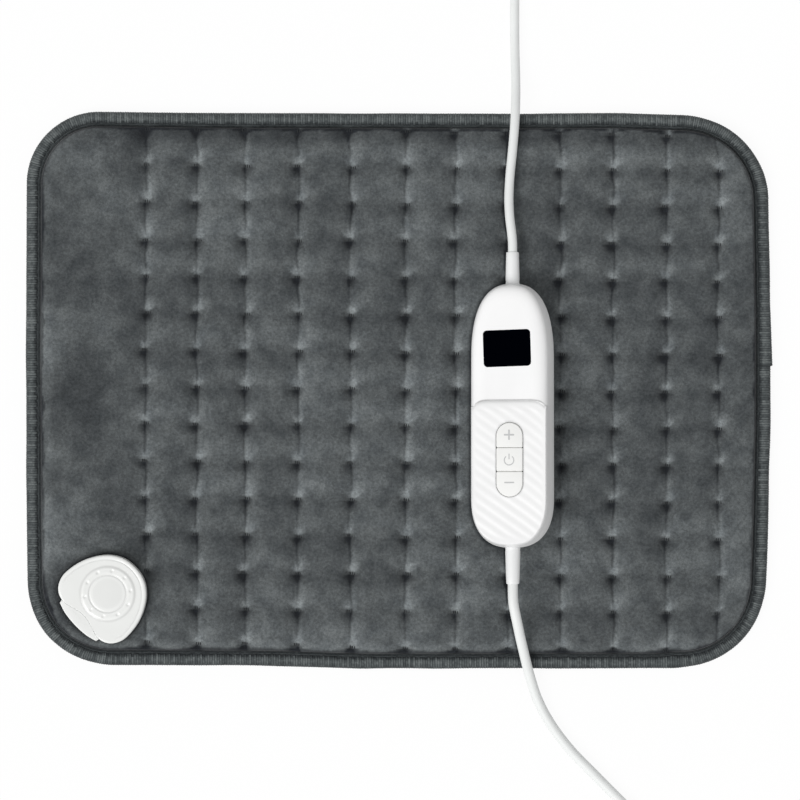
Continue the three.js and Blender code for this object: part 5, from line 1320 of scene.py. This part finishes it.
def cover_shape(height, floor_level, inside_level, step):
    """A cover as one closed skin: a fine grid bent into the pad's outline whose height is given, its
    rim, a flat margin under the binding and the roof of the pocket for the heating layer."""
    insets = EDGE_INSET + np.array([0.0, 3.2, 5.0, 5.7, 6.1, 6.5, 7.2, 8.2, 9.6, 11.4, 13.6, 16.2, 19.0])
    offsets = np.array([0.0, 0.5, 1.1, 1.8, 2.6, 3.6, 4.9, 6.6])
    half = np.array([PAD_LENGTH, PAD_WIDTH]) / 2
    flat_x, flat_y = np.meshgrid(grid_lines(half[0], COLUMNS, offsets, insets, step),
                                 grid_lines(half[1], ROWS, offsets, insets, step))
    shear = smooth_step(half[1] - np.abs(flat_y), 10, 30) * (np.abs(flat_x) < half[0] - 21)
    x, y = round_corners(flat_x, flat_y)
    y = y - ROW_FALL * x * shear
    z, tone = height(x, y)
    top = np.stack([x, y, z], axis=-1).reshape(-1, 3)
    faces = grid_faces(*x.shape)
    index = np.arange(x.size).reshape(x.shape)
    loop = np.concatenate([index[0, :-1], index[:-1, -1], index[-1, :0:-1], index[:0:-1, 0]])
    shrink = (half - POCKET_INSET) / (half - EDGE_INSET)
    rim = top[loop][:, :2]
    inner = np.column_stack(round_corners(flat_x.ravel()[loop] * shrink[0],
                                          flat_y.ravel()[loop] * shrink[1]))
    loops = [at_level(*pair) for pair in ((rim, floor_level), (inner, floor_level), (inner, inside_level))]
    levels = [loop] + [len(top) + number * len(loop) + np.arange(len(loop)) for number in range(3)]
    for upper, lower in zip(levels[:-1], levels[1:]):
        faces.extend(np.column_stack([upper, np.roll(upper, -1), np.roll(lower, -1), lower]).tolist())
    faces.append(levels[-1].tolist())
    tones = np.concatenate([tone.ravel(), np.full(3 * len(loop), 0.5)])
    return (settled(np.vstack([top] + loops)), faces), tones


def edge_rise(inside):
    """Quarter-round rise from the binding, where it is 0, to the crown, where it is 1."""
    return np.sqrt(1 - (1 - np.clip((inside - BINDING_WIDTH) / EDGE_FALL, 0, 1)) ** 2)


def in_the_open(inside):
    """0 under the binding and 1 inside it, with a short step between."""
    return smooth_step(inside, BINDING_WIDTH - 0.3, BINDING_WIDTH + 0.5)


def top_height(x, y):
    """Height and tone of the quilted face: a quarter-round rise from the binding to the crown, less
    the quilting; it sinks to its seat under the socket and into the binding at the edge. Its tone
    holds painted shadow beside the socket, the handset and the leads, painted shade in scallops along
    the binding, and painted light and shade on the slope to the binding, lighter on the lower and left
    sides and darker on the upper one."""
    inside = edge_distance(x, y)
    rise = edge_rise(inside)
    z = EDGE_LEVEL + (CROWN - EDGE_LEVEL) * rise - quilt_depth(x, y) * (0.35 + 0.65 * rise) + PILE
    z = np.clip(z, LOWEST_TOP, CROWN + 0.08)
    clear = socket_clearance(x, y)
    tuck = smooth_step(clear, 0.5, 3.2)
    z = SEAT_LEVEL + (z - SEAT_LEVEL) * tuck
    under = 1 - in_the_open(inside)
    # Painted shade in a thin line round the socket's foot
    tone = 0.5 + (quilt_painted_light_and_tone(x, y) - 0.5) * tuck - 0.4 * (1 - smooth_step(clear, 0.2, 1.6))
    # Painted shadow to the lower left of the socket, and beside the handset and the leads
    corner = smooth_step(SOCKET_PLACE[0] + SOCKET_PLACE[1] - x - y, 4, 26)
    tone -= 0.3 * corner * (1 - smooth_step(clear, 3, 14)) + 0.45 * shadow_beside_leads(x, y)
    # Painted light and shade on the slope to the binding: lighter on the lower and left sides, darker on
    # the upper one
    share_x, share_y = x / PAD_LENGTH, y / PAD_WIDTH
    level_side = smooth_step(np.abs(share_y) - np.abs(share_x), 0.02, 0.08)
    left_side = smooth_step(-share_x - np.abs(share_y), -0.03, 0.05)
    upper_side, lower_side = [smooth_step(sign * share_y - np.abs(share_x), -0.03, 0.05)
                              for sign in (1, -1)]
    slope = smooth_step(inside, BINDING_WIDTH + 0.4, BINDING_WIDTH + 2.0)
    tone += slope * (1 - smooth_step(inside, 11.0, 16.0)) * (0.2 * lower_side + 0.1 * left_side)
    tone -= 0.16 * upper_side * (1 - smooth_step(inside, 11.0, 23.0))
    # Painted shade in scallops along the binding, wider near the columns on the upper and lower sides and
    # on the left side
    arch = np.clip(1 - np.abs(x[..., None] - COLUMNS).min(-1) / 13.0, 0, 1) ** 2 * level_side
    scallop = 0.6 + 1.9 * arch + (0.5 + 0.6 * left_side) * (1 + noise_field(x, y, 9, 31)) \
        + 0.25 * noise_field(x, y, 2, 32)
    tone -= 0.4 * (1 - in_the_open(inside - scallop))
    return z * (1 - under) + RIM_ROOF * under, np.clip(tone, 0, 1)


def under_height(x, y):
    """Height and tone of the underside: flat on the surface it lies on, lifted along the tack
    columns, at the tacks and towards the binding; its tone is half the quilting's, with its painted
    shade and painted highlights."""
    inside = edge_distance(x, y)
    rise = edge_rise(inside)
    lift = 0.45 * np.clip(quilt_depth(x, y) - 0.9, 0, 3.0) + 0.8 * (1 - rise)
    under = 1 - in_the_open(inside)
    return lift * (1 - under) + UNDER_RIM * under, 0.5 + 0.5 * (quilt_painted_light_and_tone(x, y) - 0.5)


def add_covers():
    """Quilted top cover and plain underside, both padded."""
    shape, tones = cover_shape(top_height, COVER_FLOOR, COVER_INSIDE, TOP_STEP)
    top = add_piece("quilted_top", shape, plush, nodes=["pad_cover_top"], tones=tones,
                    sharp=SOFT_ANGLE)
    shape, tones = cover_shape(under_height, UNDER_ROOF, UNDER_ROOF - 0.02, UNDER_STEP)
    under = add_piece("plush_underside", shape, plush, nodes=["pad_cover_bottom"],
                      tones=tones, sharp=SOFT_ANGLE)


def add_tacks():
    """Bar tacks: three short upright stitches side by side in each pit, each a small closed bead of
    five rings, bent down at both ends."""
    columns, rows = np.meshgrid(np.arange(len(COLUMNS)), np.arange(ROW_COUNT))
    x, y = tack_places(rows.ravel(), columns.ravel())
    clear_of_socket = 1.5
    keep = (edge_distance(x, y) > COVERED) & (socket_clearance(x, y) > clear_of_socket)
    x, y = x[keep], y[keep]
    sides, spacing, bend = 6, 1.15, 0.12
    angle = 2 * np.pi * np.arange(sides) / sides
    along, radius = np.array([(-0.95, 0.12), (-0.6, 0.24), (0.0, 0.28), (0.6, 0.24), (0.95, 0.12)]).T
    beads = []
    for shift in (-spacing, 0.0, spacing):
        level = top_height(x + shift, y)[0]
        lean = draw.uniform(-0.12, 0.12, len(x))
        ring_y = along[None, :, None] + np.zeros((len(x), 1, sides))
        ring_x = radius[:, None] * np.cos(angle) + lean[:, None, None] * ring_y
        ring_z = radius[:, None] * np.sin(angle) + bend * (1 - ring_y ** 2)
        place = np.column_stack([x + shift, y, level])
        beads.append(np.stack([ring_x, ring_y, ring_z], axis=-1) + place[:, None, None])
    beads = np.concatenate(beads)
    in_bead = len(along) * sides
    first = (np.arange(len(beads)) * in_bead)[:, None, None]
    body = np.array(grid_faces(len(along), sides, close_columns=True))
    ends = np.array([np.arange(sides), in_bead - sides + np.arange(sides)])
    faces = (body + first).reshape(-1, 4).tolist() + (ends + first).reshape(-1, sides).tolist()
    add_piece("bar_tacks", (settled(beads.reshape(-1, 3)), faces), thread)


# Section of the binding, from its inner edge over the top and down: inset, level, ribbed, tone,
# whose tone is painted shade in the groove beside the cord and painted light on the ribbed roll's top
BINDING_PROFILE = np.array([
    (8.0, 5.85, 0, 0.12), (8.05, 6.7, 0, 0.1), (7.8, 6.95, 0, 0.1), (7.5, 6.35, 0, 0.06),
    (7.2, 6.3, 0, 0.08), (6.98, 6.7, 0, 0.3), (6.7, 6.72, 0, 0.3), (6.45, 6.35, 0, 0.1),
    (6.2, 6.3, 0, 0.08), (5.9, 6.7, 1, 0.16), (5.3, 7.0, 1, 0.36), (4.4, 7.2, 1, 0.6),
    (3.2, 7.15, 1, 0.66), (2.1, 6.9, 1, 0.58), (1.2, 6.4, 1, 0.46), (0.5, 5.6, 1, 0.34),
    (0.1, 4.5, 1, 0.3), (0.0, 3.1, 1, 0.3), (0.6, 1.3, 1, 0.3), (2.1, 0.25, 0.8, 0.3),
    (6.5, 0.1, 0, 0.3), (8.0, 1.3, 0, 0.3), (1.9, 1.3, 0, 0.3), (1.9, 5.85, 0, 0.3)])


def binding_points(places, inwards, swollen, ragged):
    """The section carried round the outline: it swells at each rib, its ribbed part ends ragged, and
    at the lap it stands out and up, most at the lap's end. Along the outline it wavers a little."""
    inset, level, ribbed, _ = BINDING_PROFILE.T
    middle_inset, middle_level = 3.6, 3.4
    rib_height, lap_out, lap_up, wave = 0.2, 1.1, 0.35, 0.18
    out_x, out_z = middle_inset - inset, level - middle_level
    length = np.hypot(out_x, out_z)
    swell = (rib_height * ribbed * swollen[:, None] - 0.04) * (ribbed > 0)
    ends = (np.abs(inset - 5.9) < 0.7) * (ribbed > 0)
    insets = inset - swell * out_x / length + ragged[:, None] * ends
    x, y = places.T
    in_lap = (x > PAD_LENGTH / 2 - 0.5) & (y > LAP_END) & (y < LAP_START)
    lap = np.where(in_lap, (LAP_START - y) / (LAP_START - LAP_END), 0)[:, None]
    outer = np.clip(1 - inset / 6.0, 0, 1)
    insets -= (lap_out * lap + wave * noise_field(x, y, 22, 21)[:, None]) * outer
    levels = np.maximum(level + swell * out_z / length + lap_up * lap * outer * (level > 3), 0.0)
    flat = places[:, None] + insets[..., None] * inwards[:, None]
    return np.concatenate([flat, levels[..., None]], axis=-1).reshape(-1, 3)


def binding_tones(places, inwards, swollen):
    """Tone of the section: painted highlights on the ribs, each rib and stitch a little different,
    painted light on the outer fold of the upper and left sides and painted shade on the lower and right
    ones, and a painted shadow line where the lap ends."""
    inset, level, ribbed, plain = BINDING_PROFILE.T
    ribs = len(places) // RIB_STEPS
    shade = np.repeat(draw.uniform(-0.14, 0.14, ribs), RIB_STEPS)
    speck = np.repeat(draw.uniform(-0.17, 0.17, (ribs, len(plain))), RIB_STEPS, axis=0)
    # Painted highlights on the rib tops
    tone = plain + speck + (0.46 * swollen - 0.24 + shade)[:, None] * (ribbed > 0)
    x, y = places.T
    # Painted light and shade by the side's direction: lighter on the upper and left sides
    facing = np.clip(inwards[:, 1] - 0.6 * inwards[:, 0], -1, 1)
    tone -= 0.12 * facing[:, None] * bell(inset, 1.2) * (level > 3)
    lean = 0.027 * inwards[:, 0] - 0.045 * inwards[:, 1] - 0.006
    tone += (lean + 0.04 * noise_field(x, y, 9, 22))[:, None]
    # Painted shadow where the lap ends
    lap_end_shadow = (x > PAD_LENGTH / 2 - 0.5) & (np.abs(y - LAP_END) < 0.8)
    return np.clip(np.where(lap_end_shadow[:, None], tone * 0.3, tone), 0, 1).ravel()


def add_binding():
    """The overlocked binding: a channel section carried round the outline. Its outer two thirds are
    ribbed across, with ragged inner ends, and beside them a cord lies in a groove with painted shade.
    On the right side the end laps over the start and stands a little proud."""
    places, inwards = binding_stations()
    ribs = len(places) // RIB_STEPS
    peak = np.tile(0.5 - 0.5 * np.cos(2 * np.pi * np.arange(RIB_STEPS) / RIB_STEPS), ribs)
    ragged = np.repeat(draw.uniform(-0.7, 0.5, ribs), RIB_STEPS)
    swollen = peak * np.repeat(draw.uniform(0.6, 1.3, ribs), RIB_STEPS)
    points = binding_points(places, inwards, swollen, ragged)
    faces = grid_faces(len(places), len(BINDING_PROFILE), True, True)
    add_piece("overlock_binding", (settled(points), faces), yarn, nodes=["edge_binding"],
              tones=binding_tones(places, inwards, swollen), sharp=SOFT_ANGLE)


add_covers()
add_tacks()
add_binding()


# CAD nodes that stay get their finishes
def dress_nodes():
    """Gives each CAD node that shows its own material, found by the longest fitting start of its name."""
    finishes = {
        "heating_carrier": felt, "heating_wire": wire_coat, "thermal_cutout": steel,
        "temperature_sensor": dark_plastic, "socket_backplate": steel, "socket_pin_carrier": dark_plastic,
        "socket_pin_": nickel, "socket_screw_": steel, "handset_screw_": steel, "switch_": dark_plastic,
        "display_module": dark_plastic, "circuit_board": board_green, "relay": dark_plastic,
        "smoothing_capacitor": dark_plastic, "suppression_capacitor": dark_plastic,
        "controller_chip": dark_plastic, "fuse": nickel, "connector_contact_block": dark_plastic,
    }
    for name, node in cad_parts.items():
        fitting = max((start for start in finishes if name.startswith(start)), key=len, default=None)
        if fitting:
            for slot in node.material_slots:
                slot.material = finishes[fitting]


dress_nodes()


# Studio: floor, world and lamps
# Strength of the soft surround, and the sun's direction, width and strength
AMBIENT = 0.56
SUN_AZIMUTH, SUN_ELEVATION, SUN_SPREAD = math.radians(222), math.radians(50), math.radians(38)
SUN_STRENGTH = 1.75


def seen_by(nodes, links, share):
    """Share for camera, glossy and transmission rays, and 0 for the light that falls on things."""
    path = nodes.new("ShaderNodeLightPath")
    first, second, scaled = [nodes.new("ShaderNodeMath") for _ in range(3)]
    first.operation = second.operation = "MAXIMUM"
    scaled.operation = "MULTIPLY"
    scaled.inputs[1].default_value = share
    links.new(path.outputs["Is Camera Ray"], first.inputs[0])
    links.new(path.outputs["Is Glossy Ray"], first.inputs[1])
    links.new(first.outputs[0], second.inputs[0])
    links.new(path.outputs["Is Transmission Ray"], second.inputs[1])
    links.new(second.outputs[0], scaled.inputs[0])
    return scaled.outputs[0]


def mixed_shaders(nodes, links, output, first, second, share):
    """Sends to the output a mix of two shaders, of which rays that end at the camera see the second
    by the share."""
    mix = nodes.new("ShaderNodeMixShader")
    links.new(first.outputs[0], mix.inputs[1])
    links.new(second.outputs[0], mix.inputs[2])
    links.new(mix.outputs[0], output.inputs["Surface"])
    links.new(seen_by(nodes, links, share), mix.inputs["Fac"])


def add_floor():
    """A pale floor, just under the part, that keeps a faint shadow of it."""
    half = 4.0
    mesh = bpy.data.meshes.new("floor")
    mesh.from_pydata([(-half, -half, 0), (half, -half, 0), (half, half, 0), (-half, half, 0)], [],
                     [(0, 1, 2, 3)])
    floor = new_object("floor", mesh)
    floor.location.z = -0.0002
    material = bpy.data.materials.new("floor_white")
    material.use_nodes = True
    nodes, links = material.node_tree.nodes, material.node_tree.links
    nodes.clear()
    matte = nodes.new("ShaderNodeBsdfDiffuse")
    matte.inputs["Color"].default_value = (0.95, 0.95, 0.95, 1)
    mixed_shaders(nodes, links, nodes.new("ShaderNodeOutputMaterial"), matte,
                  nodes.new("ShaderNodeEmission"), 0.94)
    mesh.materials.append(material)


def add_surround():
    """A white surround for the camera, and a softer one that lights the part."""
    world = bpy.data.worlds.new("surround")
    bpy.context.scene.world = world
    world.use_nodes = True
    nodes, links = world.node_tree.nodes, world.node_tree.links
    nodes.clear()
    soft, bright = nodes.new("ShaderNodeBackground"), nodes.new("ShaderNodeBackground")
    soft.inputs["Strength"].default_value = AMBIENT
    soft.inputs["Color"].default_value = bright.inputs["Color"].default_value = (1, 1, 1, 1)
    mixed_shaders(nodes, links, nodes.new("ShaderNodeOutputWorld"), soft, bright, 1.0)


def add_sun():
    """One broad sun from the lower left."""
    data = bpy.data.lights.new("key_sun", "SUN")
    data.energy = SUN_STRENGTH
    data.angle = SUN_SPREAD
    level = math.cos(SUN_ELEVATION)
    towards = Vector((level * math.cos(SUN_AZIMUTH), level * math.sin(SUN_AZIMUTH),
                      math.sin(SUN_ELEVATION)))
    new_object("key_sun", data).rotation_euler = towards.to_track_quat("Z", "Y").to_euler()


bpy.context.scene.view_settings.view_transform = "Standard"
add_floor()
add_surround()
add_sun()
